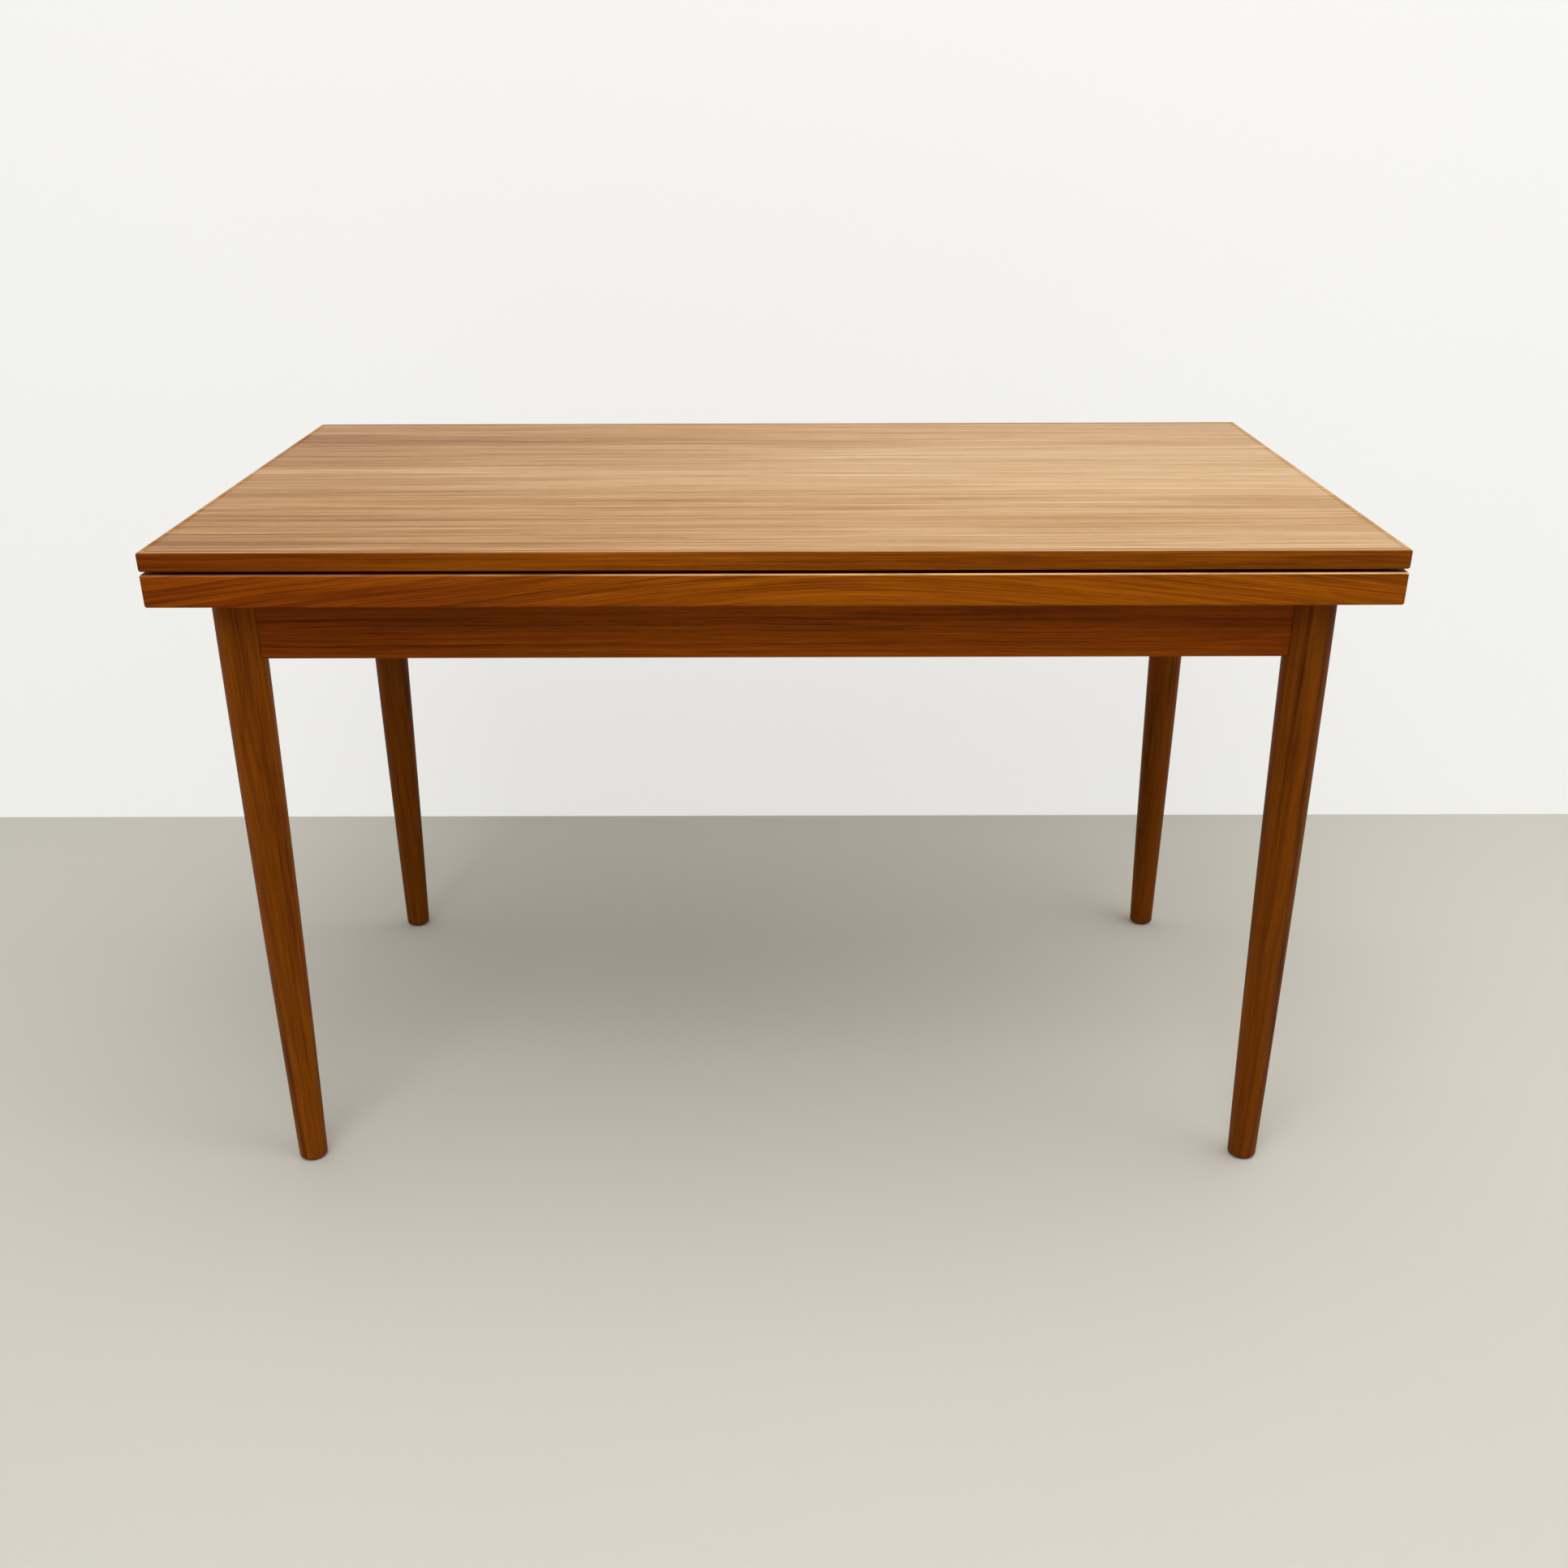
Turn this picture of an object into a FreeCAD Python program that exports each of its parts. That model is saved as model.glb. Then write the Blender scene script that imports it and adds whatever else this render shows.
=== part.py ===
import FreeCAD, Part
import os
import re
import Sketcher

# Extending dining table with draw leaves, in millimetres.
# The origin is on the floor under the middle of the table. X runs along the length,
# Y from the front edge to the back edge, Z up. The leaves draw out at the left and right ends.

doc = FreeCAD.newDocument("extending_dining_table")
sheet = doc.addObject("Spreadsheet::Sheet", "Sizes")

# Driving dimensions: each one stands by itself
SIZES = (
    ("table_length", 1250, "length of the closed table"),
    ("table_width", 720, "width of the table"),
    ("table_height", 740, "floor to top surface"),
    ("top_thickness", 19, "thickness of the top"),
    ("layer_gap", 3, "open joint between the top and the layer under it"),
    ("rail_depth", 33, "height of the layer under the top"),
    ("rail_lip", 22, "thickness of a side rail's outer wall"),
    ("ledge_width", 60, "ledge inside a side rail that a leaf slides on"),
    ("slide_gap", 0.3, "running gap over and under what slides"),
    ("side_gap", 0.5, "running gap beside what slides"),
    ("fit_gap", 0.05, "clearance round pegs, dowels, screws and butted joints"),
    ("peg_fit_gap", 0.1, "clearance of the top's guide pegs in the bearer"),
    ("cut_overrun", 5, "how far a cutting form runs past the piece it cuts"),
    ("corner_round", 3, "rounding of upright corners"),
    ("arris_round", 2.4, "rounding of the arrises of the top and the layer under it"),
    ("edge_lip", 8, "thickness of the solid lipping round the top"),
    ("leg_inset_end", 75, "leg centre to the table's end, at the leg's head"),
    ("leg_inset_side", 52, "leg centre to the table's long edge, at the leg's head"),
    ("leg_splay_end", 8, "how far a foot stands out towards the end"),
    ("leg_splay_side", 4, "how far a foot stands out towards the long edge"),
    ("leg_head_radius", 24.6, "leg radius at the head"),
    ("leg_middle_radius", 21.7, "leg radius half way down"),
    ("leg_foot_radius", 16.2, "leg radius at the foot"),
    ("foot_round", 1.8, "rounding of a leg's lower edge"),
    ("glide_radius", 13, "radius of a foot glide"),
    ("glide_thickness", 2.5, "height of a foot glide's disc"),
    ("glide_bevel", 0.8, "bevel of a foot glide's lower edge"),
    ("glide_pin_radius", 1.6, "radius of a glide's nail"),
    ("glide_pin_length", 16, "length of a glide's nail"),
    ("apron_height", 65, "height of the aprons"),
    ("apron_thickness", 20, "thickness of the aprons"),
    ("apron_reveal", 12, "apron face outside the plane of the leg centres"),
    ("apron_round", 3, "rounding of the aprons' lower arrises"),
    ("leaf_thickness", 19, "thickness of a leaf"),
    ("leaf_hold", 49.5, "leaf left under the top when it is drawn out"),
    ("end_lip", 30, "thickness of a leaf's deep end lipping"),
    ("inner_lip", 20, "thickness of a leaf's hidden inner lipping"),
    ("side_lip", 12, "thickness of a leaf's side lippings"),
    ("bearer_width", 150, "width of the fixed centre bearer"),
    ("loper_width", 24, "width of a loper"),
    ("loper_height", 30, "height of a loper"),
    ("loper_relief", 1, "how much lower the loper's tail is than its head"),
    ("right_loper_inset", 118, "right leaf's lopers, from the leg centres towards the middle line"),
    ("loper_pitch", 40, "left leaf's lopers, from the right leaf's towards the middle line"),
    ("loper_tail", 10, "loper that runs on past its stop peg"),
    ("stop_peg_radius", 4, "radius of a stop peg"),
    ("stop_peg_hold", 18, "stop peg inside its loper"),
    ("stop_peg_drop", 12, "stop peg under its loper"),
    ("centre_rail_width", 30, "width of the notched centre rail"),
    ("centre_rail_depth", 50, "centre rail below the frame's top"),
    ("block_clearance", 2.4, "gap between a leg and its corner block"),
    ("block_thickness", 30, "thickness of a corner block along the diagonal"),
    ("block_height", 40, "height of a corner block"),
    ("bolt_radius", 4, "radius of a hanger bolt"),
    ("bolt_drop", 31, "hanger bolt below the frame's top"),
    ("bolt_start", 6, "hanger bolt's point from the leg's axis"),
    ("bolt_past_nut", 3, "hanger bolt showing past its nut"),
    ("nut_radius", 7.5, "corner radius of a hanger bolt's nut"),
    ("nut_height", 6.5, "height of a hanger bolt's nut"),
    ("washer_radius", 12, "radius of a hanger bolt's washer"),
    ("washer_thickness", 1.6, "thickness of a hanger bolt's washer"),
    ("dowel_radius", 4, "radius of a dowel"),
    ("dowel_in_leg", 13, "dowel inside a leg"),
    ("dowel_in_apron", 25, "dowel inside the piece it joins to a leg"),
    ("dowel_in_side", 12, "dowel inside a long apron's inner face"),
    ("dowel_edge", 15, "dowel to the apron's top or bottom edge"),
    ("screw_radius", 2.25, "radius of a screw's shank"),
    ("screw_head_radius", 4.5, "radius of a screw's head"),
    ("screw_head_height", 3, "height of a screw's head"),
    ("ledge_screw_length", 50, "screw from a corner block up into a ledge"),
    ("ledge_screw_shift", 14, "ledge screw from the corner block's middle"),
    ("bearer_screw_length", 29, "screw from the bearer down into what carries it"),
    ("bearer_screw_offset", 50, "bearer screw from the middle of the table"),
    ("bearer_screw_edge", 28, "bearer screw from the inside of the rail's wall"),
    ("bearer_screw_pitch", 60, "spacing of the screws into the centre rail"),
    ("loper_screw_length", 30, "screw from a loper up into its leaf"),
    ("loper_screw_sink", 12, "depth of the counterbore under a loper's screw"),
    ("loper_screw_end", 60, "outer loper screws from the ends of the leaf's panel"),
    ("peg_radius", 8, "radius of the top's guide pegs"),
    ("peg_hold", 11, "guide peg inside the top"),
    ("peg_offset_x", 45, "guide peg from the middle, along the length"),
    ("peg_from_loper", 50, "guide peg from the nearest loper, across the width"),
    ("top_lift", 24, "how far the loose top lifts"),
    ("stop_washer_radius", 13, "radius of the washer that stops the top's lift"),
    ("stop_washer_thickness", 2, "thickness of that washer"),
    ("stop_screw_length", 22, "screw that holds that washer in its peg"),
    ("felt_width", 8, "width of the felt strips under the top"),
    ("felt_setback", 40, "felt strip's end from the table's end"),
)

for row, (alias, value, meaning) in enumerate(SIZES, start=1):
    sheet.set(f"A{row}", meaning)
    sheet.set(f"B{row}", str(value))
    sheet.setAlias(f"B{row}", alias)
doc.recompute()

ALIASES = sorted((alias for alias, _, _ in SIZES), key=len, reverse=True)
ALIAS_PATTERN = re.compile(r"\b(" + "|".join(ALIASES) + r")\b")

# Levels and places that follow from the driving dimensions
TOP_UNDER = "(table_height - top_thickness)"
LAYER_TOP = f"({TOP_UNDER} - layer_gap)"
FRAME_TOP = f"({LAYER_TOP} - rail_depth)"
LEDGE_TOP = f"({LAYER_TOP} - leaf_thickness - 2 * slide_gap)"
LEAF_UNDER = f"({LEDGE_TOP} + slide_gap)"
LOPER_UNDER = f"({LEAF_UNDER} - loper_height)"
APRON_UNDER = f"({FRAME_TOP} - apron_height)"
LEG_X = "(table_length / 2 - leg_inset_end)"
LEG_Y = "(table_width / 2 - leg_inset_side)"
APRON_INSET = "(apron_thickness - apron_reveal)"
RAIL_INSIDE = "(table_width / 2 - rail_lip)"
LEDGE_INSIDE = f"({RAIL_INSIDE} - ledge_width)"
LEAF_HALF_WIDTH = f"({RAIL_INSIDE} - side_gap)"
LEAF_OUTER = "(table_length / 2)"
LEAF_INNER = "(bearer_width / 2 + side_gap)"
LEAF_TRAVEL = f"({LEAF_OUTER} - {LEAF_INNER} - leaf_hold)"
LOPER_OUTER = f"({LEAF_OUTER} - end_lip)"
STOP_PEG_X = f"(centre_rail_width / 2 + {LEAF_TRAVEL} + stop_peg_radius + slide_gap)"
LOPER_LENGTH = f"({LOPER_OUTER} + {STOP_PEG_X} + stop_peg_radius + loper_tail)"
LOPER_HEAD = f"({LOPER_OUTER} - {LEAF_INNER})"
PANEL_LENGTH = f"({LOPER_HEAD} - inner_lip)"
LOPER_SPREAD = {"right": f"({LEG_Y} - right_loper_inset)", "left": f"({LEG_Y} - right_loper_inset - loper_pitch)"}
PEG_Y = f"({LOPER_SPREAD['left']} - peg_from_loper)"
BLOCK_NEAR = "(leg_head_radius + block_clearance)"
BLOCK_FAR = f"({BLOCK_NEAR} + block_thickness)"
PEG_UNDER = f"({LEDGE_TOP} - top_lift - slide_gap)"

LOPER_SCREWS = 3
LEFT, RIGHT, FRONT, BACK = -1, 1, -1, 1
X_SIDES = (("left", LEFT), ("right", RIGHT))
Y_SIDES = (("front", FRONT), ("back", BACK))
QUARTERS = [(y_name + "_" + x_name, x_side, y_side)
            for y_name, y_side in Y_SIDES for x_name, x_side in X_SIDES]

nodes = []


def bind(piece, prop, formula):
    """Tie one property to a formula written with the sheet's aliases."""
    piece.setExpression(prop, ALIAS_PATTERN.sub(r"Sizes.\1", formula))


def size_of(alias):
    """Read one driving dimension from the sheet."""
    return float(sheet.get(alias))


def place(piece, x, y, z, turn=None):
    """Set a piece's turn, then tie its position to three formulas."""
    if turn is not None:
        piece.Placement = FreeCAD.Placement(FreeCAD.Vector(), turn)
    for axis, formula in zip("xyz", (x, y, z)):
        bind(piece, f"Placement.Base.{axis}", formula)
    return piece


def turned(direction):
    """Rotation that lays the Z axis along a direction."""
    return FreeCAD.Rotation(FreeCAD.Vector(0, 0, 1), FreeCAD.Vector(*direction))


def board(name, length, width, height, x, y, bottom):
    """Box centred on x and y that stands on the level bottom."""
    piece = doc.addObject("Part::Box", name)
    bind(piece, "Length", length)
    bind(piece, "Width", width)
    bind(piece, "Height", height)
    return place(piece, f"({x}) - ({length}) / 2", f"({y}) - ({width}) / 2", bottom)


def rod(name, radius, length, x, y, z, direction=(0, 0, 1)):
    """Cylinder that starts at a point and runs along a direction."""
    piece = doc.addObject("Part::Cylinder", name)
    bind(piece, "Radius", radius)
    bind(piece, "Height", length)
    return place(piece, x, y, z, turned(direction))


def joined(name, pieces):
    """Pieces fused to one solid."""
    piece = doc.addObject("Part::MultiFuse", name)
    piece.Shapes = pieces
    return piece


def grouped(name, pieces):
    """Separate solids kept together in one object."""
    piece = doc.addObject("Part::Compound", name)
    piece.Links = pieces
    return piece


def cut_by(name, base, tools):
    """Base piece less one or more cutting forms."""
    for count, tool in enumerate(tools, start=1):
        piece = doc.addObject("Part::Cut", name if count == len(tools) else f"{name}_cut_{count}")
        piece.Base = base
        piece.Tool = tool
        base = piece
    return base


def eased(name, base, radius, wanted):
    """Round those edges of a piece whose middle point passes a test."""
    doc.recompute()
    amount = size_of(radius)
    piece = doc.addObject("Part::Fillet", name)
    piece.Base = base
    piece.Edges = [(index, amount, amount)
                   for index, edge in enumerate(base.Shape.Edges, start=1) if wanted(edge)]
    return piece


def edge_middle(edge):
    """Point half way along an edge."""
    return edge.valueAt((edge.FirstParameter + edge.LastParameter) / 2)


def on_box_side(base, low_z, high_z, sides):
    """Test for edges on the chosen outer sides of a box, at its lower or upper face."""
    box = base.Shape.BoundBox
    limits = {"-x": ("x", box.XMin), "+x": ("x", box.XMax), "-y": ("y", box.YMin), "+y": ("y", box.YMax)}
    touch = size_of("fit_gap")

    def wanted(edge):
        middle = edge_middle(edge)
        level = (low_z and abs(middle.z - box.ZMin) < touch) or (high_z and abs(middle.z - box.ZMax) < touch)
        beside = any(abs(getattr(middle, axis) - value) < size_of("corner_round")
                     for axis, value in (limits[side] for side in sides))
        return level and beside

    return wanted


def upright_corners(base, sides):
    """Test for upright edges at the meeting of two outer sides of a box."""
    box = base.Shape.BoundBox
    limits = {"-x": ("x", box.XMin), "+x": ("x", box.XMax), "-y": ("y", box.YMin), "+y": ("y", box.YMax)}
    touch = size_of("fit_gap")

    def wanted(edge):
        middle = edge_middle(edge)
        upright = abs(middle.z - (box.ZMin + box.ZMax) / 2) < touch
        hits = [abs(getattr(middle, axis) - value) < touch for axis, value in (limits[side] for side in sides)]
        return upright and sum(hits) == 2

    return wanted


def polygon_sketch(body, role, points):
    """Closed outline in one of a body's origin planes, each corner tied to two formulas."""
    plane = next(item for item in body.Origin.OriginFeatures if item.Role == role)
    sketch = body.newObject("Sketcher::SketchObject", body.Name + "_outline")
    sketch.AttachmentSupport = [(plane, "")]
    sketch.MapMode = "FlatFace"
    count = len(points)
    places = [FreeCAD.Vector(formula_value(across), formula_value(up), 0) for across, up in points]
    for index in range(count):
        sketch.addGeometry(Part.LineSegment(places[index], places[(index + 1) % count]))
    for index in range(count):
        sketch.addConstraint(Sketcher.Constraint("Coincident", index, 2, (index + 1) % count, 1))
    for index, corner in enumerate(points):
        for kind, formula, axis in zip(("DistanceX", "DistanceY"), corner, (-2, -1)):
            if formula == "0":
                sketch.addConstraint(Sketcher.Constraint("PointOnObject", index, 1, axis))
            else:
                value = formula_value(formula)
                number = sketch.addConstraint(Sketcher.Constraint(kind, -1, 1, index, 1, value))
                bind(sketch, f"Constraints[{number}]", formula)
    return sketch


def formula_value(formula):
    """Present value of a formula written with the sheet's aliases."""
    return float(sheet.evalExpression(ALIAS_PATTERN.sub(r"Sizes.\1", formula)))


def padded(body, outline, length):
    """Pad of an outline, half to each side of its plane."""
    pad = body.newObject("PartDesign::Pad", outline.Name + "_pad")
    pad.Profile = outline
    pad.Midplane = True
    bind(pad, "Length", length)
    return pad


def rounded_pad(body, base, name, radius, wanted):
    """PartDesign fillet on those edges of a body's feature that pass a test."""
    doc.recompute()
    fillet = body.newObject("PartDesign::Fillet", name)
    names = [f"Edge{index}" for index, edge in enumerate(base.Shape.Edges, start=1) if wanted(edge)]
    fillet.Base = (base, names)
    bind(fillet, "Radius", radius)
    return fillet


def keep(piece, name):
    """List a finished piece under its node name."""
    piece.Label = name
    nodes.append(piece)
    return piece


def signed(side, formula):
    """Formula on the chosen side of the middle."""
    return f"{side} * ({formula})"


def leg_form(name, x_side, y_side, spare):
    """Round leg with a slight swell: three level circles joined smoothly."""
    sections = []
    levels = (("foot", "glide_thickness", "leg_foot_radius", 1),
              ("middle", f"({FRAME_TOP} / 2)", "leg_middle_radius", 0.5),
              ("head", FRAME_TOP, "leg_head_radius", 0))
    for level, height, radius, splay_share in levels:
        circle = doc.addObject("Part::Circle", f"{name}_{level}")
        bind(circle, "Radius", f"{radius} + {spare}")
        place(circle, signed(x_side, f"{LEG_X} + {splay_share} * leg_splay_end"),
              signed(y_side, f"{LEG_Y} + {splay_share} * leg_splay_side"), height)
        sections.append(circle)
    loft = doc.addObject("Part::Loft", name)
    loft.Sections = sections
    loft.Solid = True
    return loft


def dowel_forms(prefix, spare):
    """Dowels between the legs and the aprons, or with spare the holes for them."""
    rods = []
    for quarter, x_side, y_side in QUARTERS:
        heights = (("low", f"{APRON_UNDER} + dowel_edge"), ("high", f"{LOPER_UNDER} - 2 * dowel_radius"))
        for level, height in heights:
            length = f"dowel_in_leg + dowel_in_apron + 2 * {spare}"
            reach = f"leg_head_radius - dowel_in_leg - {spare}"
            rods.append(rod(f"{prefix}_long_{quarter}_{level}", f"dowel_radius + {spare}", length,
                            signed(x_side, f"{LEG_X} - ({reach})"),
                            signed(y_side, f"{LEG_Y} + apron_reveal - apron_thickness / 2"),
                            height, (-x_side, 0, 0)))
            rods.append(rod(f"{prefix}_end_{quarter}_{level}", f"dowel_radius + {spare}", length,
                            signed(x_side, f"{LEG_X} + apron_reveal - apron_thickness / 2"),
                            signed(y_side, f"{LEG_Y} - ({reach})"),
                            height, (0, -y_side, 0)))
    return rods


def bolt_forms(prefix, spare):
    """Hanger bolts along the corners' diagonals, or with spare the holes for them."""
    rods = []
    for quarter, x_side, y_side in QUARTERS:
        start = f"(bolt_start - {spare})"
        length = f"{BLOCK_FAR} + washer_thickness + nut_height + bolt_past_nut - {start}"
        rods.append(rod(f"{prefix}_{quarter}", f"bolt_radius + {spare}", length,
                        signed(x_side, f"{LEG_X} - {start} / sqrt(2)"),
                        signed(y_side, f"{LEG_Y} - {start} / sqrt(2)"),
                        f"{FRAME_TOP} - bolt_drop", (-x_side, -y_side, 0)))
    return rods


def screw_form(name, length, spare, x, y, seat, up=True, sink=None):
    """Screw whose head seats at a level and whose shank runs up or down from there."""
    way = 1 if up else -1
    shank = rod(f"{name}_shank", f"screw_radius + {spare}", f"{length} + {spare}", x, y, seat, (0, 0, way))
    drop = sink if sink else f"screw_head_height + {spare}"
    head = rod(f"{name}_head", f"screw_head_radius + {spare}", drop, x, y, seat, (0, 0, -way))
    return joined(name, [shank, head])


def centre_rail_dowel_forms(prefix, spare):
    """Dowels between the centre rail and the long aprons, or with spare their holes."""
    rods = []
    for y_name, y_side in Y_SIDES:
        for level, height in (("low", f"{FRAME_TOP} - centre_rail_depth + dowel_edge"),
                              ("high", f"{LOPER_UNDER} - 2 * dowel_radius")):
            rods.append(rod(f"{prefix}_{y_name}_{level}", f"dowel_radius + {spare}",
                            f"dowel_in_side + dowel_in_apron + 2 * {spare}", "0",
                            signed(y_side, f"{LEG_Y} - {APRON_INSET} + dowel_in_side + {spare}"),
                            height, (0, -y_side, 0)))
    return rods


# Holes that several frame pieces share
dowel_holes = grouped("dowel_holes", dowel_forms("dowel_hole", "fit_gap"))
bolt_holes = grouped("bolt_holes", bolt_forms("bolt_hole", "fit_gap"))
centre_dowel_holes = grouped("centre_dowel_holes", centre_rail_dowel_forms("centre_dowel_hole", "fit_gap"))


def ledge_screw_forms(prefix, spare):
    """Screws up through the corner blocks into the ledges of the side rails."""
    forms = []
    for quarter, x_side, y_side in QUARTERS:
        middle = f"({BLOCK_NEAR} + block_thickness / 2)"
        forms.append(screw_form(f"{prefix}_{quarter}", "ledge_screw_length", spare,
                                signed(x_side, f"{LEG_X} - ({middle} + ledge_screw_shift) / sqrt(2)"),
                                signed(y_side, f"{LEG_Y} - ({middle} - ledge_screw_shift) / sqrt(2)"),
                                f"{FRAME_TOP} - block_height"))
    return forms


def bearer_screw_forms(prefix, spare):
    """Screws down through the bearer into the ledges and into the centre rail."""
    spots = [(f"{x_side} * bearer_screw_offset", f"{y_side} * ({RAIL_INSIDE} - bearer_screw_edge)")
             for x_side in (LEFT, RIGHT) for y_side in (FRONT, BACK)]
    spots += [("0", f"{step} * bearer_screw_pitch") for step in (-1, 0, 1)]
    return [screw_form(f"{prefix}_{count}", "bearer_screw_length - screw_head_height", spare, x, y,
                       f"{LEDGE_TOP} + leaf_thickness - screw_head_height", up=False)
            for count, (x, y) in enumerate(spots)]


ledge_screw_holes = grouped("ledge_screw_holes", ledge_screw_forms("ledge_screw_hole", "fit_gap"))
bearer_screw_holes = grouped("bearer_screw_holes", bearer_screw_forms("bearer_screw_hole", "fit_gap"))

# Legs and their glides
glide_pin_holes = []
for quarter, x_side, y_side in QUARTERS:
    foot_x = signed(x_side, f"{LEG_X} + leg_splay_end")
    foot_y = signed(y_side, f"{LEG_Y} + leg_splay_side")
    pin_hole = rod(f"glide_pin_hole_{quarter}", "glide_pin_radius + fit_gap",
                   "glide_pin_length + fit_gap + cut_overrun", foot_x, foot_y, "glide_thickness - cut_overrun")
    raw_leg = leg_form(f"raw_leg_{quarter}", x_side, y_side, "0")
    foot_level = size_of("glide_thickness")
    round_leg = eased(f"round_leg_{quarter}", raw_leg, "foot_round",
                      lambda edge: abs(edge.BoundBox.ZMax - foot_level) < size_of("fit_gap"))
    keep(cut_by(f"leg_{quarter}", round_leg, [pin_hole, dowel_holes, bolt_holes]), f"leg_{quarter}")

    glide = doc.addObject("PartDesign::Body", f"foot_glide_{quarter}")
    profile = polygon_sketch(glide, "XZ_Plane", [
        ("0", "0"), ("glide_radius - glide_bevel", "0"), ("glide_radius", "glide_bevel"),
        ("glide_radius", "glide_thickness"), ("glide_pin_radius", "glide_thickness"),
        ("glide_pin_radius", "glide_thickness + glide_pin_length"),
        ("0", "glide_thickness + glide_pin_length")])
    spin = glide.newObject("PartDesign::Revolution", glide.Name + "_spin")
    spin.Profile = profile
    spin.ReferenceAxis = (profile, ["V_Axis"])
    place(glide, foot_x, foot_y, "0")
    keep(glide, f"foot_glide_{quarter}")

# Aprons: boards coped to the round legs, with eased lower arrises
leg_copes = grouped("leg_copes", [leg_form(f"leg_cope_{quarter}", x_side, y_side, "fit_gap")
                                  for quarter, x_side, y_side in QUARTERS])


def notch_forms(name, spread, x, width):
    """Two slots that a pair of lopers runs through, open at the top."""
    return [board(f"{name}_{y_name}", width, "loper_width + 2 * side_gap",
                  "loper_height + slide_gap + cut_overrun", x, f"{y_side} * {spread}",
                  f"{LOPER_UNDER} - slide_gap") for y_name, y_side in Y_SIDES]


for y_name, y_side in Y_SIDES:
    blank = board(f"{y_name}_apron_blank", f"2 * {LEG_X}", "apron_thickness", "apron_height", "0",
                  signed(y_side, f"{LEG_Y} + apron_reveal - apron_thickness / 2"), APRON_UNDER)
    doc.recompute()
    soft = eased(f"{y_name}_apron_eased", blank, "apron_round",
                 on_box_side(blank, True, False, ("-y", "+y")))
    keep(cut_by(f"{y_name}_apron", soft, [dowel_holes, centre_dowel_holes, leg_copes]), f"{y_name}_apron")

for x_name, x_side in X_SIDES:
    centre_x = signed(x_side, f"{LEG_X} + apron_reveal - apron_thickness / 2")
    blank = board(f"{x_name}_apron_blank", "apron_thickness", f"2 * {LEG_Y}", "apron_height",
                  centre_x, "0", APRON_UNDER)
    doc.recompute()
    soft = eased(f"{x_name}_apron_eased", blank, "apron_round",
                 on_box_side(blank, True, False, ("-x", "+x")))
    slots = grouped(f"{x_name}_apron_slots",
                    notch_forms(f"{x_name}_apron_slot", LOPER_SPREAD[x_name], centre_x,
                                "apron_thickness + 2 * cut_overrun"))
    keep(cut_by(f"{x_name}_apron", soft, [slots, dowel_holes, leg_copes]), f"{x_name}_apron")

# Corner blocks: boards across the corners, trimmed to the inside faces of the aprons
frame_room = board("frame_room", f"2 * ({LEG_X} - {APRON_INSET})", f"2 * ({LEG_Y} - {APRON_INSET})",
                   f"{FRAME_TOP}", "0", "0", "0")
for quarter, x_side, y_side in QUARTERS:
    across = doc.addObject("Part::Box", f"corner_board_{quarter}")
    bind(across, "Length", "block_thickness")
    bind(across, "Width", f"2 * {BLOCK_FAR}")
    bind(across, "Height", "block_height")
    quarter_turn = FreeCAD.Rotation(FreeCAD.Vector(1, 0, 0), FreeCAD.Vector(-x_side, -y_side, 0))
    place(across,
          f"{x_side} * ({LEG_X} - {BLOCK_NEAR} / sqrt(2)) - {y_side} * {BLOCK_FAR} / sqrt(2)",
          f"{y_side} * ({LEG_Y} - {BLOCK_NEAR} / sqrt(2)) + {x_side} * {BLOCK_FAR} / sqrt(2)",
          f"{FRAME_TOP} - block_height", quarter_turn)
    trimmed = doc.addObject("Part::Common", f"corner_trim_{quarter}")
    trimmed.Base = across
    trimmed.Tool = frame_room
    keep(cut_by(f"corner_block_{quarter}", trimmed, [bolt_holes, ledge_screw_holes]), f"corner_block_{quarter}")

# Side rails: a wall as deep as the whole layer, with a ledge inside for the leaves.
# The ledge stops short of the ends, where the leaves' deep lippings stand.
for y_name, y_side in Y_SIDES:
    rail = doc.addObject("PartDesign::Body", f"{y_name}_rail_body")
    ledge = polygon_sketch(rail, "YZ_Plane", [
        ("0", "0"), ("rail_lip + ledge_width", "0"),
        ("rail_lip + ledge_width", f"{LEDGE_TOP} - {FRAME_TOP}"), ("0", f"{LEDGE_TOP} - {FRAME_TOP}")])
    padded(rail, ledge, "table_length - 2 * end_lip - 2 * slide_gap")
    wall = polygon_sketch(rail, "YZ_Plane", [
        ("0", "0"), ("rail_lip", "0"), ("rail_lip", "rail_depth"), ("0", "rail_depth")])
    wall_pad = padded(rail, wall, "table_length")
    doc.recompute()
    corners = rounded_pad(rail, wall_pad, f"{y_name}_rail_corners", "corner_round",
                          upright_corners(wall_pad, ("-x", "+x", "-y")))
    doc.recompute()
    rounded_pad(rail, corners, f"{y_name}_rail_arrises", "arris_round",
                on_box_side(corners, True, True, ("-x", "+x", "-y")))
    half_turn = FreeCAD.Rotation(FreeCAD.Vector(0, 0, 1), 0 if y_side == FRONT else 180)
    place(rail, "0", signed(y_side, "table_width / 2"), FRAME_TOP, half_turn)
    keep(cut_by(f"{y_name}_side_rail", rail, [ledge_screw_holes, bearer_screw_holes]), f"{y_name}_side_rail")

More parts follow.
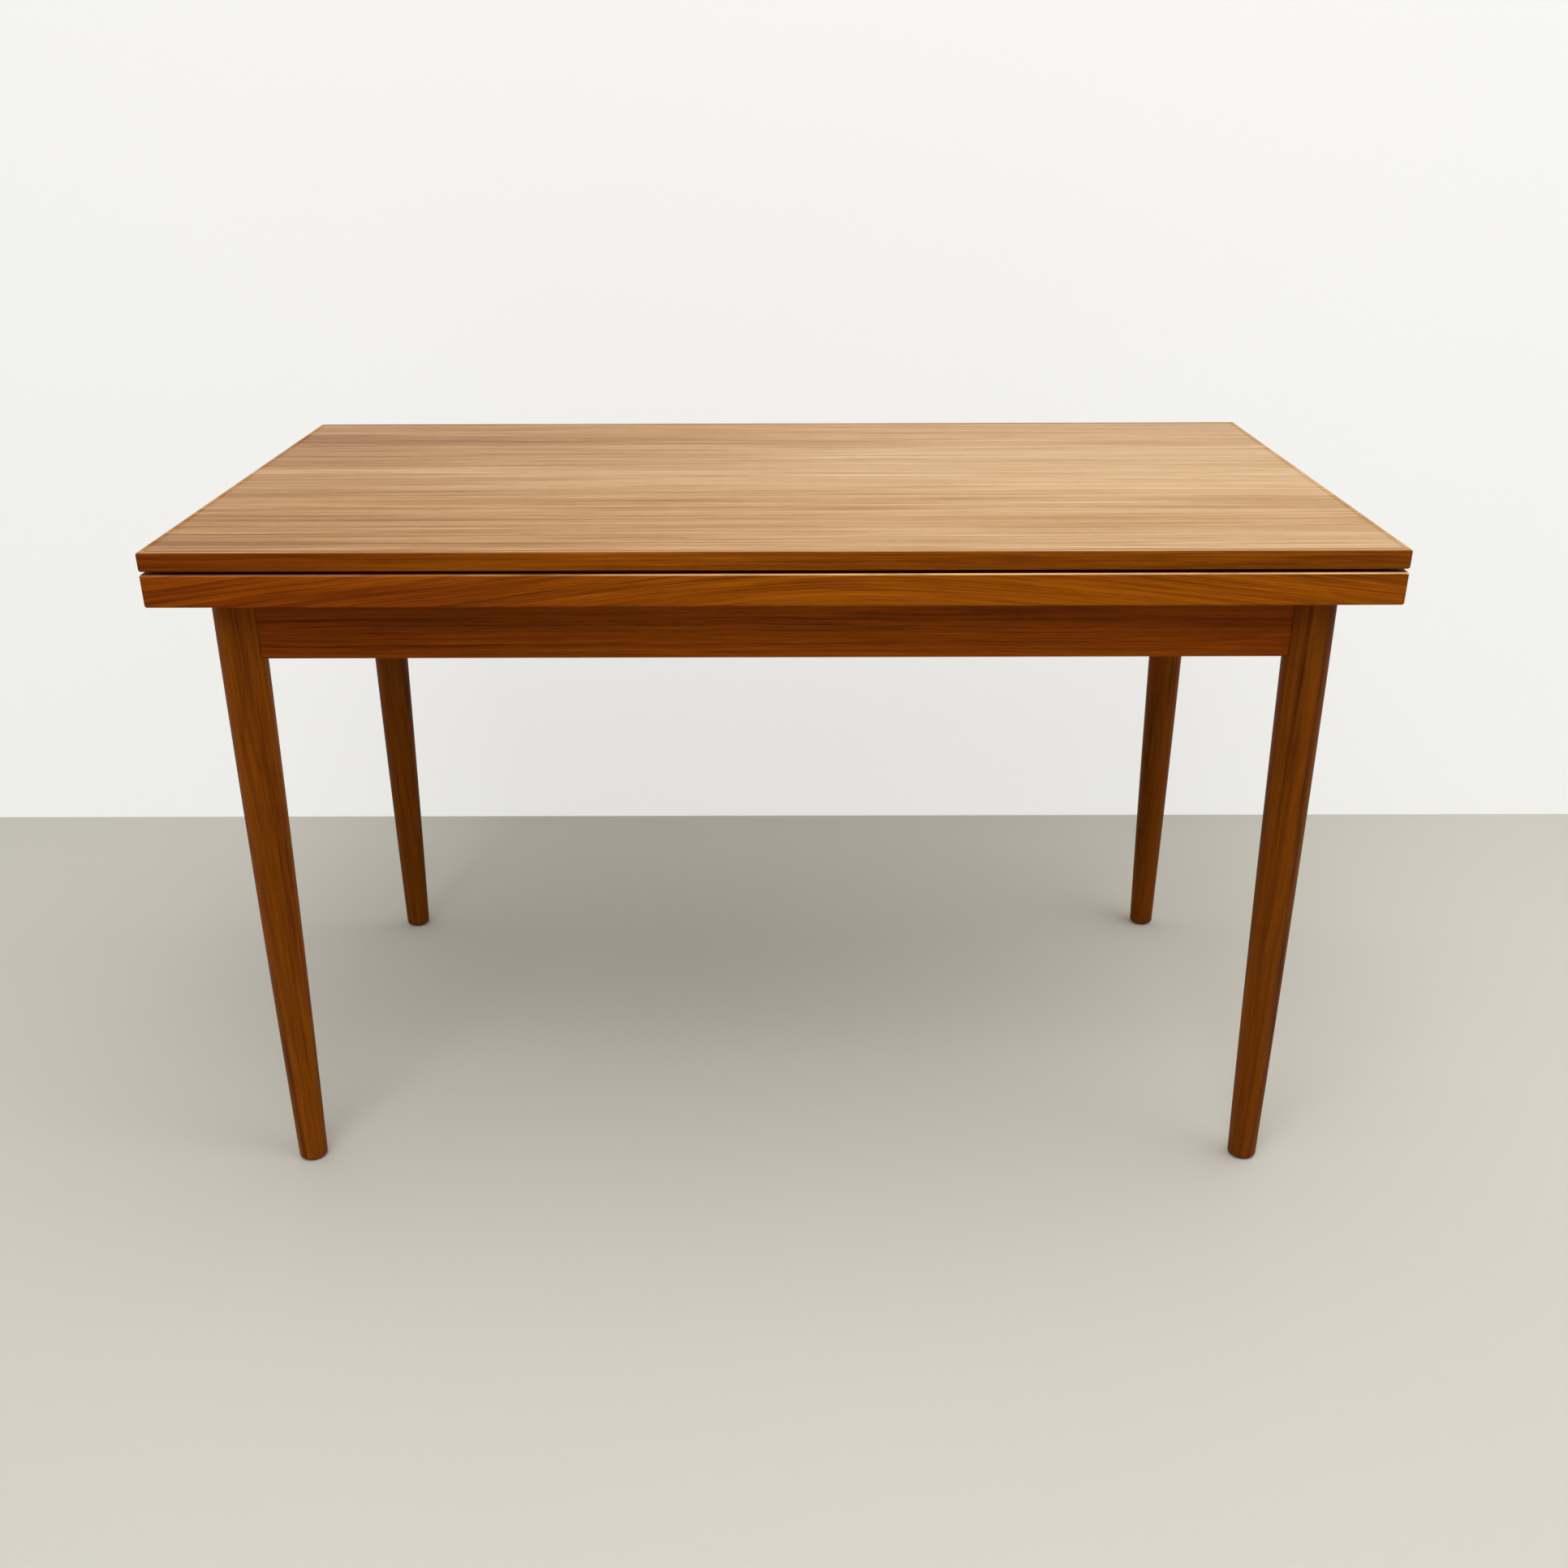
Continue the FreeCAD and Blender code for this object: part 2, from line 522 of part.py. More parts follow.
# Centre bearer across the ledges, and the notched rail under it that keeps the lopers in line
peg_spots = [(side, f"{side} * peg_offset_x", f"{side} * {PEG_Y}") for side in (LEFT, RIGHT)]
peg_holes = grouped("peg_holes", [
    rod(f"peg_hole_{side}", "peg_radius + peg_fit_gap", "leaf_thickness + 2 * cut_overrun",
        x, y, f"{LEDGE_TOP} - cut_overrun") for side, x, y in peg_spots])
bearer_blank = board("bearer_blank", "bearer_width", f"2 * {RAIL_INSIDE} - 2 * fit_gap", "leaf_thickness",
                     "0", "0", LEDGE_TOP)
keep(cut_by("centre_bearer", bearer_blank, [peg_holes, bearer_screw_holes]), "centre_bearer")

rail_low = board("centre_rail_low", "centre_rail_width", f"2 * ({LEG_Y} - {APRON_INSET})", "centre_rail_depth",
                 "0", "0", f"{FRAME_TOP} - centre_rail_depth")
rail_high = board("centre_rail_high", "centre_rail_width", f"2 * {LEDGE_INSIDE} - 2 * side_gap",
                  f"{LEDGE_TOP} - {FRAME_TOP} + centre_rail_depth", "0", "0", f"{FRAME_TOP} - centre_rail_depth")
rail_slots = []
for x_name, _ in X_SIDES:
    rail_slots += notch_forms(f"centre_slot_{x_name}", LOPER_SPREAD[x_name], "0",
                              "centre_rail_width + 2 * cut_overrun")
keep(cut_by("centre_rail", joined("centre_rail_blank", [rail_low, rail_high]),
            [grouped("centre_slots", rail_slots), centre_dowel_holes, bearer_screw_holes]), "centre_rail")

# Felt strips that the loose top rests on
for y_name, y_side in Y_SIDES:
    keep(board(f"{y_name}_felt_strip", "table_length - 2 * felt_setback", "felt_width",
               "layer_gap - slide_gap", "0", signed(y_side, f"{RAIL_INSIDE} + felt_width / 2"),
               LAYER_TOP), f"{y_name}_felt_strip")

# Fastenings of the frame
keep(grouped("apron_dowels", dowel_forms("dowel", "0")), "apron_dowels")
keep(grouped("centre_rail_dowels", centre_rail_dowel_forms("centre_dowel", "0")), "centre_rail_dowels")
keep(grouped("ledge_screws", ledge_screw_forms("ledge_screw", "0")), "ledge_screws")
keep(grouped("bearer_screws", bearer_screw_forms("bearer_screw", "0")), "bearer_screws")
keep(grouped("hanger_bolts", bolt_forms("bolt", "0")), "hanger_bolts")

washers = []
nuts = []
for quarter, x_side, y_side in QUARTERS:
    inward = (-x_side, -y_side, 0)
    for pieces, prefix, start in ((washers, "washer", BLOCK_FAR),
                                  (nuts, "nut", f"({BLOCK_FAR} + washer_thickness)")):
        spot = (signed(x_side, f"{LEG_X} - {start} / sqrt(2)"),
                signed(y_side, f"{LEG_Y} - {start} / sqrt(2)"), f"{FRAME_TOP} - bolt_drop")
        if prefix == "washer":
            blank = rod(f"washer_blank_{quarter}", "washer_radius", "washer_thickness", *spot, inward)
        else:
            blank = doc.addObject("Part::Prism", f"nut_blank_{quarter}")
            blank.Polygon = 6
            bind(blank, "Circumradius", "nut_radius")
            bind(blank, "Height", "nut_height")
            place(blank, *spot, turned(inward))
        pieces.append(cut_by(f"{prefix}_{quarter}", blank, [bolt_holes]))
keep(grouped("hanger_bolt_washers", washers), "hanger_bolt_washers")
keep(grouped("hanger_bolt_nuts", nuts), "hanger_bolt_nuts")


def loper_screw_forms(name, x_side, y_side, spread, spare, sink=None):
    """Screws up through one loper into its leaf, evenly spaced."""
    pitch = f"({PANEL_LENGTH} - 2 * loper_screw_end) / {LOPER_SCREWS - 1}"
    return [screw_form(f"{name}_{step}", "loper_screw_length", spare,
                       signed(x_side, f"{LOPER_OUTER} - loper_screw_end - {step} * {pitch}"),
                       f"{y_side} * {spread}", f"{LOPER_UNDER} + loper_screw_sink", sink=sink)
            for step in range(LOPER_SCREWS)]


# The two leaves, alike but for the spread of their lopers
for x_name, x_side in X_SIDES:
    spread = LOPER_SPREAD[x_name]
    leaf = f"{x_name}_leaf"
    screws = []
    screw_holes = []
    pegs = []
    stop_holes = []
    for y_name, y_side in Y_SIDES:
        prefix = f"{x_name}_{y_name}"
        screws += loper_screw_forms(f"{prefix}_loper_screw", x_side, y_side, spread, "0")
        screw_holes += loper_screw_forms(f"{prefix}_loper_screw_hole", x_side, y_side, spread, "fit_gap",
                                         "loper_screw_sink + cut_overrun")
        peg_x = signed(-x_side, STOP_PEG_X)
        peg_y = f"{y_side} * {spread}"
        pegs.append(rod(f"{prefix}_stop_peg", "stop_peg_radius", "stop_peg_hold + stop_peg_drop",
                        peg_x, peg_y, f"{LOPER_UNDER} - stop_peg_drop"))
        stop_holes.append(rod(f"{prefix}_stop_peg_hole", "stop_peg_radius + fit_gap",
                              "stop_peg_hold + fit_gap + cut_overrun", peg_x, peg_y,
                              f"{LOPER_UNDER} - cut_overrun"))
    screw_holes = grouped(f"{leaf}_screw_holes", screw_holes)
    stop_holes = grouped(f"{leaf}_stop_holes", stop_holes)

    end_blank = board(f"{leaf}_end_blank", "end_lip", f"2 * {LEAF_HALF_WIDTH}", "rail_depth",
                      signed(x_side, f"{LEAF_OUTER} - end_lip / 2"), "0", FRAME_TOP)
    doc.recompute()
    outer_side = "-x" if x_side == LEFT else "+x"
    keep(eased(f"{leaf}_end_lipping", end_blank, "arris_round",
               on_box_side(end_blank, True, True, (outer_side,))), f"{leaf}_end_lipping")

    panel_x = signed(x_side, f"{LOPER_OUTER} - {PANEL_LENGTH} / 2")
    panel_blank = board(f"{leaf}_panel_blank", PANEL_LENGTH, f"2 * {LEAF_HALF_WIDTH} - 2 * side_lip",
                        "leaf_thickness", panel_x, "0", LEAF_UNDER)
    keep(cut_by(f"{leaf}_panel", panel_blank, [screw_holes]), f"{leaf}_panel")
    keep(board(f"{leaf}_inner_lipping", "inner_lip", f"2 * {LEAF_HALF_WIDTH}", "leaf_thickness",
               signed(x_side, f"{LEAF_INNER} + inner_lip / 2"), "0", LEAF_UNDER), f"{leaf}_inner_lipping")
    for y_name, y_side in Y_SIDES:
        keep(board(f"{leaf}_{y_name}_lipping", PANEL_LENGTH, "side_lip", "leaf_thickness", panel_x,
                   signed(y_side, f"{LEAF_HALF_WIDTH} - side_lip / 2"), LEAF_UNDER),
             f"{leaf}_{y_name}_lipping")
        bar = doc.addObject("PartDesign::Body", f"{leaf}_{y_name}_loper_body")
        outline = polygon_sketch(bar, "XZ_Plane", [
            ("0", "0"), (LOPER_LENGTH, "0"), (LOPER_LENGTH, "loper_height - loper_relief"),
            (LOPER_HEAD, "loper_height - loper_relief"), (LOPER_HEAD, "loper_height"),
            ("0", "loper_height")])
        padded(bar, outline, "loper_width")
        turn = FreeCAD.Rotation(FreeCAD.Vector(0, 0, 1), 0 if x_side == LEFT else 180)
        place(bar, signed(x_side, LOPER_OUTER), f"{y_side} * {spread}", LOPER_UNDER, turn)
        keep(cut_by(f"{leaf}_{y_name}_loper", bar, [screw_holes, stop_holes]), f"{leaf}_{y_name}_loper")
    keep(grouped(f"{leaf}_loper_screws", screws), f"{leaf}_loper_screws")
    keep(grouped(f"{leaf}_stop_pegs", pegs), f"{leaf}_stop_pegs")

# The loose top: a veneered panel between solid lippings, with two pegs that drop in the bearer
peg_sockets = grouped("peg_sockets", [
    rod(f"peg_socket_{side}", "peg_radius + fit_gap", "peg_hold + fit_gap + cut_overrun",
        x, y, f"{TOP_UNDER} - cut_overrun") for side, x, y in peg_spots])
panel_blank = board("top_panel_blank", "table_length - 2 * edge_lip", "table_width - 2 * edge_lip",
                    "top_thickness", "0", "0", TOP_UNDER)
keep(cut_by("top_panel", panel_blank, [peg_sockets]), "top_panel")
for y_name, y_side in Y_SIDES:
    blank = board(f"top_{y_name}_blank", "table_length", "edge_lip", "top_thickness", "0",
                  signed(y_side, "table_width / 2 - edge_lip / 2"), TOP_UNDER)
    doc.recompute()
    outer_side = "-y" if y_side == FRONT else "+y"
    corners = eased(f"top_{y_name}_corners", blank, "corner_round",
                    upright_corners(blank, ("-x", "+x", outer_side)))
    doc.recompute()
    keep(eased(f"top_{y_name}_lipping", corners, "arris_round",
               on_box_side(corners, True, True, (outer_side, "-x", "+x"))), f"top_{y_name}_lipping")
for x_name, x_side in X_SIDES:
    blank = board(f"top_{x_name}_blank", "edge_lip", "table_width - 2 * edge_lip", "top_thickness",
                  signed(x_side, "table_length / 2 - edge_lip / 2"), "0", TOP_UNDER)
    doc.recompute()
    outer_side = "-x" if x_side == LEFT else "+x"
    keep(eased(f"top_{x_name}_lipping", blank, "arris_round",
               on_box_side(blank, True, True, (outer_side,))), f"top_{x_name}_lipping")

top_pegs = []
stop_washers = []
stop_screws = []
for side, x, y in peg_spots:
    screw_seat = f"{PEG_UNDER} - stop_washer_thickness"
    screw_hole = screw_form(f"stop_screw_hole_{side}", "stop_screw_length", "fit_gap", x, y, screw_seat)
    peg = rod(f"top_peg_blank_{side}", "peg_radius", f"{TOP_UNDER} + peg_hold - {PEG_UNDER}", x, y, PEG_UNDER)
    washer = rod(f"stop_washer_blank_{side}", "stop_washer_radius", "stop_washer_thickness", x, y, screw_seat)
    top_pegs.append(cut_by(f"top_peg_{side}", peg, [screw_hole]))
    stop_washers.append(cut_by(f"stop_washer_{side}", washer, [screw_hole]))
    stop_screws.append(screw_form(f"stop_screw_{side}", "stop_screw_length", "0", x, y, screw_seat))
keep(grouped("top_guide_pegs", top_pegs), "top_guide_pegs")
keep(grouped("top_stop_washers", stop_washers), "top_stop_washers")
keep(grouped("top_stop_screws", stop_screws), "top_stop_screws")

doc.recompute()
for piece in doc.Objects:
    if "Invalid" in piece.State or "Error" in piece.State:
        raise RuntimeError(f"{piece.Name} did not build: {piece.State}")
for piece in nodes:
    if piece.Shape.isNull() or not piece.Shape.isValid() or not piece.Shape.Solids:
        raise RuntimeError(f"{piece.Label} has no valid solid")

os.makedirs("parts", exist_ok=True)
for piece in nodes:
    piece.Shape.exportStep(f"parts/{piece.Label}.step")
print(len(nodes), "nodes written")
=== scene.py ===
import logging
import math
from dataclasses import dataclass, field, replace
from enum import Enum
from typing import Optional, Union

import bmesh
import bpy
import numpy as np
from mathutils import Matrix, Vector


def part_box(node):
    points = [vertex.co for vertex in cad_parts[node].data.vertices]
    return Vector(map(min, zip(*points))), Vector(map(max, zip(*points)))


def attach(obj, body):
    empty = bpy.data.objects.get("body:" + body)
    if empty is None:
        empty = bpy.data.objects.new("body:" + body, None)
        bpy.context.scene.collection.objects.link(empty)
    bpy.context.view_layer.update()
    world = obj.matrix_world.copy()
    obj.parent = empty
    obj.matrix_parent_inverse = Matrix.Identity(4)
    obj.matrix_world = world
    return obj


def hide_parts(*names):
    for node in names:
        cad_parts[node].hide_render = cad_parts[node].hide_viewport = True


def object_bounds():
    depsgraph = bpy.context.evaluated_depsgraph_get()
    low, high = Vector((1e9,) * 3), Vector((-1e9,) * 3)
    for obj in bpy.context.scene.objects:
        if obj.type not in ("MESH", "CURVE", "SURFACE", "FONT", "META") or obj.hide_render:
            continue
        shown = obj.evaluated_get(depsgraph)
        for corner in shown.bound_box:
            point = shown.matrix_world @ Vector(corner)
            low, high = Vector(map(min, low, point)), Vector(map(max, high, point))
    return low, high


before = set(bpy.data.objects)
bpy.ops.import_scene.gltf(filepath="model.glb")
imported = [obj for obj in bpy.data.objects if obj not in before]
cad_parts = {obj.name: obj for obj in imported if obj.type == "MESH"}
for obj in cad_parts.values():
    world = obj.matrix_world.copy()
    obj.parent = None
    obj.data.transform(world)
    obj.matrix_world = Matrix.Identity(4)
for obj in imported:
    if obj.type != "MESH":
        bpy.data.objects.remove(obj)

logging.basicConfig(level=logging.INFO, format="%(name)s: %(message)s")
LOG = logging.getLogger("dining_table")

MM = 0.001
MERGE = MM / 200
ARC_LEAD = MM / 2
CORNERS = tuple((side_x, side_y) for side_x in (-1, 1) for side_y in (-1, 1))
LEG_HEAD = (550 * MM, 308 * MM)
CAD_LOW, CAD_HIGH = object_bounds()

Number = Union[int, float]
Colour = tuple[float, float, float]
Point = tuple[float, float, float]
Spot = tuple[float, float]
Value = Union["Sock", Number]
Tint = Union["Sock", Colour]


def linear(red: int, green: int, blue: int) -> Colour:
    """Turn a display colour of 0 to 255 into the linear colour that a shader takes.

    Args:
        red: Red as displayed.
        green: Green as displayed.
        blue: Blue as displayed.

    Returns:
        The linear red, green and blue, each 0 to 1.
    """
    shares = np.array([red, green, blue]) / 255
    bright = ((shares + 0.055) / 1.055) ** 2.4
    return tuple(float(c) for c in np.where(shares <= 0.04045, shares / 12.92, bright))


def scaled(colour: Colour, share: float) -> Colour:
    """A colour whose three parts are multiplied by a share."""
    return tuple(part * share for part in colour)


class Axis(Enum):
    """A direction of the table, by its place in a vector."""

    ALONG = 0
    ACROSS = 1
    UP = 2


@dataclass
class Sock:
    """One shader value, a socket or a number, on which Python's operators add Math nodes."""

    graph: "Graph"
    value: Union[bpy.types.NodeSocket, Number]

    def _math(self, operation: str, *others: Value) -> "Sock":
        """Add a Math node that takes this value first and the others after it."""
        return self.graph.node("ShaderNodeMath", {"operation": operation}, [self, *others])

    def __add__(self, other: Value) -> "Sock":
        """This value plus another."""
        return self._math("ADD", other)

    __radd__ = __add__

    def __sub__(self, other: Value) -> "Sock":
        """This value less another."""
        return self._math("SUBTRACT", other)

    def __rsub__(self, other: Number) -> "Sock":
        """A number less this value."""
        return self.graph.number(other) - self

    def __mul__(self, other: Value) -> "Sock":
        """This value times another."""
        return self._math("MULTIPLY", other)

    __rmul__ = __mul__

    def __truediv__(self, other: Value) -> "Sock":
        """This value over another."""
        return self._math("DIVIDE", other)

    def __pow__(self, other: Value) -> "Sock":
        """This value raised to a power."""
        return self._math("POWER", other)

    def fraction(self) -> "Sock":
        """What is left after the whole number below."""
        return self._math("FRACT")

    def absolute(self) -> "Sock":
        """The value without its sign."""
        return self._math("ABSOLUTE")

    def larger(self, other: Value) -> "Sock":
        """The larger of two values."""
        return self._math("MAXIMUM", other)

    def between(self, low: Number, high: Number) -> "Sock":
        """Smooth step from 0 at low to 1 at high."""
        return self.graph.node("ShaderNodeMapRange", {"interpolation_type": "SMOOTHSTEP"},
                               {"Value": self, "From Min": low, "From Max": high}, "Result")


class Graph:
    """A material's node tree, with one method that adds any node."""

    def __init__(self, name: str) -> None:
        """Make an empty material.

        Args:
            name: The material's name.
        """
        self.material = bpy.data.materials.new(name)
        self.material.use_nodes = True
        self.tree = self.material.node_tree
        self.tree.nodes.clear()
        self.output = self.tree.nodes.new("ShaderNodeOutputMaterial")

    def node(self, kind: str, settings: Optional[dict] = None, sockets: Union[list, dict, None] = None,
             out: Union[int, str] = 0) -> Sock:
        """Add a node, set its settings first and then its sockets.

        Args:
            kind: Blender's name of the node type.
            settings: Properties of the node; "stops" holds a ramp's places and colours.
            sockets: Values or links, in order or by socket name or number.
            out: The output that is handed back.

        Returns:
            The chosen output.
        """
        made = self.tree.nodes.new(kind)
        for key, value in (settings or {}).items():
            if key == "stops":
                self._set_stops(made.color_ramp, value)
            else:
                setattr(made, key, value)
        pairs = enumerate(sockets) if isinstance(sockets, list) else (sockets or {}).items()
        for key, value in pairs:
            self._feed(made.inputs[key], value)
        return Sock(self, made.outputs[out])

    def _set_stops(self, ramp: bpy.types.ColorRamp, stops: list[tuple[float, Colour]]) -> None:
        """Give a colour ramp its places and colours.

        Args:
            ramp: The ramp of a node.
            stops: Places from 0 to 1, each with its colour.
        """
        while len(ramp.elements) < len(stops):
            ramp.elements.new(1.0)
        for element, (place, colour) in zip(ramp.elements, stops):
            element.position = place
            element.color = (*colour, 1.0)

    def _feed(self, socket: bpy.types.NodeSocket, value: object) -> None:
        """Link a socket, or set its value.

        Args:
            socket: The socket of a node.
            value: A socket to link, or a plain value.
        """
        if isinstance(value, Sock):
            value = value.value
        if isinstance(value, bpy.types.NodeSocket):
            self.tree.links.new(value, socket)
        elif isinstance(value, tuple) and len(value) == 3 and socket.type == "RGBA":
            socket.default_value = (*value, 1.0)
        else:
            socket.default_value = value

    def number(self, value: Number) -> Sock:
        """A plain number that can stand in an expression."""
        return Sock(self, value)

    def position(self) -> Sock:
        """Object coordinates, which are the table's own metres."""
        return self.node("ShaderNodeTexCoord", out="Object")

    def parts(self, vector: Sock) -> tuple[Sock, Sock, Sock]:
        """Take a vector apart.

        Args:
            vector: The vector.

        Returns:
            Its three numbers.
        """
        split = self.tree.nodes.new("ShaderNodeSeparateXYZ")
        self._feed(split.inputs[0], vector)
        return tuple(Sock(self, socket) for socket in split.outputs)

    def normal_parts(self) -> tuple[Sock, Sock, Sock]:
        """The three parts of the surface's outward direction."""
        return self.parts(self.node("ShaderNodeNewGeometry", out="Normal"))

    def vector(self, x: Value, y: Value, z: Value) -> Sock:
        """A vector put together from three numbers."""
        return self.node("ShaderNodeCombineXYZ", None, [x, y, z])

    def noise(self, vector: Sock, scale: float, detail: float, rough: float = 0.5) -> Sock:
        """Noise between 0 and 1 at a place."""
        return self.node("ShaderNodeTexNoise", {"noise_dimensions": "3D"},
                         {"Vector": vector, "Scale": scale, "Detail": detail, "Roughness": rough})

    def mix(self, share: Value, first: Tint, second: Tint, blend: str = "MIX") -> Sock:
        """Blend two colours."""
        return self.node("ShaderNodeMix", {"data_type": "RGBA", "blend_type": blend},
                         {"Factor": share, 6: first, 7: second}, 2)

    def finish(self, base: Tint, rough: Value, height: Sock, depth: float,
               **uniform: Number) -> bpy.types.Material:
        """Close the material with a Principled shader.

        Args:
            base: Base colour.
            rough: Roughness.
            height: What the bump follows, 0 to 1.
            depth: How deep the bump is, in metres.
            **uniform: Other shader values that are the same all over, by name.

        Returns:
            The finished material.
        """
        bump = self.node("ShaderNodeBump", None, {"Height": height, "Distance": depth, "Strength": 1.0})
        values = {"Base Color": base, "Roughness": rough, "Normal": bump}
        values.update({name.replace("_", " "): value for name, value in uniform.items()})
        self.close(self.node("ShaderNodeBsdfPrincipled", None, values))
        return self.material

    def close(self, shader: Sock) -> None:
        """Link a shader to the material's output."""
        self._feed(self.output.inputs["Surface"], shader)


@dataclass(frozen=True)
class GrainPlace:
    """Where a point lies in its board: along the grain, across it, and through it."""

    along: Sock
    across: Sock
    through: Sock

    @classmethod
    def of(cls, graph: Graph, grain: Axis, shift: float) -> "GrainPlace":
        """Read a point's place in the board from Object coordinates.

        Args:
            graph: The material being made.
            grain: The axis that the grain runs along.
            shift: Metres that the pattern is moved along the grain.

        Returns:
            The three distances, in metres.
        """
        places = list(graph.parts(graph.position()))
        along = places.pop(grain.value)
        first, second = places
        if grain is Axis.UP:
            return cls(along + shift, first, second)
        return cls(along + shift, second, first)


@dataclass(frozen=True)
class Figure:
    """Noise stretched along the grain, and how much of it shows.

    The scales are waves per metre along the grain, across it and through it. Where a range is
    given, the figure is 0 below it and 1 above it, with a smooth step between.
    """

    along: float
    across: float
    through: Optional[float] = None
    detail: float = 3.0
    rough: float = 0.5
    shows: Optional[tuple[float, float]] = None

    def drawn(self, graph: Graph, place: GrainPlace) -> Sock:
        """Draw the figure over a board.

        Args:
            graph: The material being made.
            place: Where a point lies in its board.

        Returns:
            The figure, 0 to 1.
        """
        through = self.across if self.through is None else self.through
        spot = graph.vector(place.along * self.along, place.across * self.across, place.through * through)
        noise = graph.noise(spot, 1.0, self.detail, self.rough)
        return noise.between(*self.shows) if self.shows else noise


@dataclass(frozen=True)
class TeakVeneer:
    """Straight teak veneer: fine lengthwise grain with thin dark lines, denser at the left end.

    Dark strands lie in clusters: a strand is where finely stretched noise is high, and it shows
    where the broader noise of the clusters is high too. Under them the tone, its middle plus the
    swings of broad bands and fine streaks, less a drop towards the left end that is painted shade,
    runs from the dark line's colour at 0 through the warm one to the pale one at 1. The pale and
    warm colours are lifted towards white by painted sheen, the room's reflection on the top, over
    the wood's own tone. Short pores lie over all.
    """

    name: str = "top_veneer"
    # Painted sheen: the pale and warm tones carry the room's whitish reflection on the top, over the wood's
    # own tone.
    pale: Colour = linear(220, 185, 142)
    warm: Colour = linear(164, 113, 45)
    line: Colour = linear(132, 76, 16)
    pore: Colour = linear(112, 64, 16)
    shift: float = 0.0
    broad: Figure = Figure(0.45, 13.0)
    clusters: Figure = Figure(0.45, 44.0, rough=0.6, shows=(0.46, 0.60))
    strands: Figure = Figure(1.1, 150.0, rough=0.6, shows=(0.42, 0.62))
    fading: Figure = Figure(2.8, 50.0, shows=(0.36, 0.58))
    streaks: Figure = Figure(4.5, 420.0, detail=4.0, rough=0.65)
    pores: Figure = Figure(38.0, 1500.0, detail=1.0, shows=(0.60, 0.74))
    left_reach: tuple[float, float] = (-0.60, 0.40)
    strand_weight: float = 0.65
    fading_weight: float = 0.60
    cluster_share: float = 0.26
    cluster_left: float = 0.40
    strand_share: float = 0.05
    strand_left: float = 0.07
    pore_share: float = 0.231
    pore_left: float = 0.189
    tone_middle: float = 0.61
    broad_swing: float = 0.9
    streak_swing: float = 2.2
    # Painted shade: the tone drops towards the left end, away from the light.
    left_shade_drop: float = 0.26
    warm_tone: float = 0.24
    rough: float = 0.40
    pore_rough: float = 0.12
    pore_depth: float = 0.10 * MM
    specular: float = 0.12

    def colour(self, graph: Graph) -> tuple[Sock, Sock]:
        """Build the colour of the veneer in a graph.

        Args:
            graph: The material being made.

        Returns:
            The colour, and the pores from 0 to 1.
        """
        place = GrainPlace.of(graph, Axis.ALONG, self.shift)
        broad, cluster, strand, fade, streak, pores = (
            figure.drawn(graph, place)
            for figure in (self.broad, self.clusters, self.strands, self.fading, self.streaks, self.pores))
        towards_left = 1.0 - (place.along - self.shift).between(*self.left_reach)
        # The drop towards the left end is painted shade; the denser dark lines there are grain.
        tone = (self.tone_middle + (broad - 0.5) * self.broad_swing + (streak - 0.5) * self.streak_swing
                - towards_left * self.left_shade_drop)
        stops = [(0.0, self.line), (self.warm_tone, self.warm), (1.0, self.pale)]
        wood = graph.node("ShaderNodeValToRGB", {"stops": stops}, {"Fac": tone})
        dark = (cluster * (1 - self.strand_weight + strand * self.strand_weight)
                * (1 - self.fading_weight + fade * self.fading_weight)
                * (self.cluster_share + towards_left * self.cluster_left))
        stray = strand * (self.strand_share + towards_left * self.strand_left)
        wood = graph.mix(dark + stray, wood, self.line)
        return graph.mix(pores * (self.pore_share + towards_left * self.pore_left), wood, self.pore), pores

    def material(self) -> bpy.types.Material:
        """Make the finish as a material.

        Returns:
            The material, its pores a little deeper and rougher than the wood.
        """
        graph = Graph(self.name)
        wood, pores = self.colour(graph)
        return graph.finish(wood, self.rough + pores * self.pore_rough, 1.0 - pores, self.pore_depth,
                            Specular_IOR_Level=self.specular)


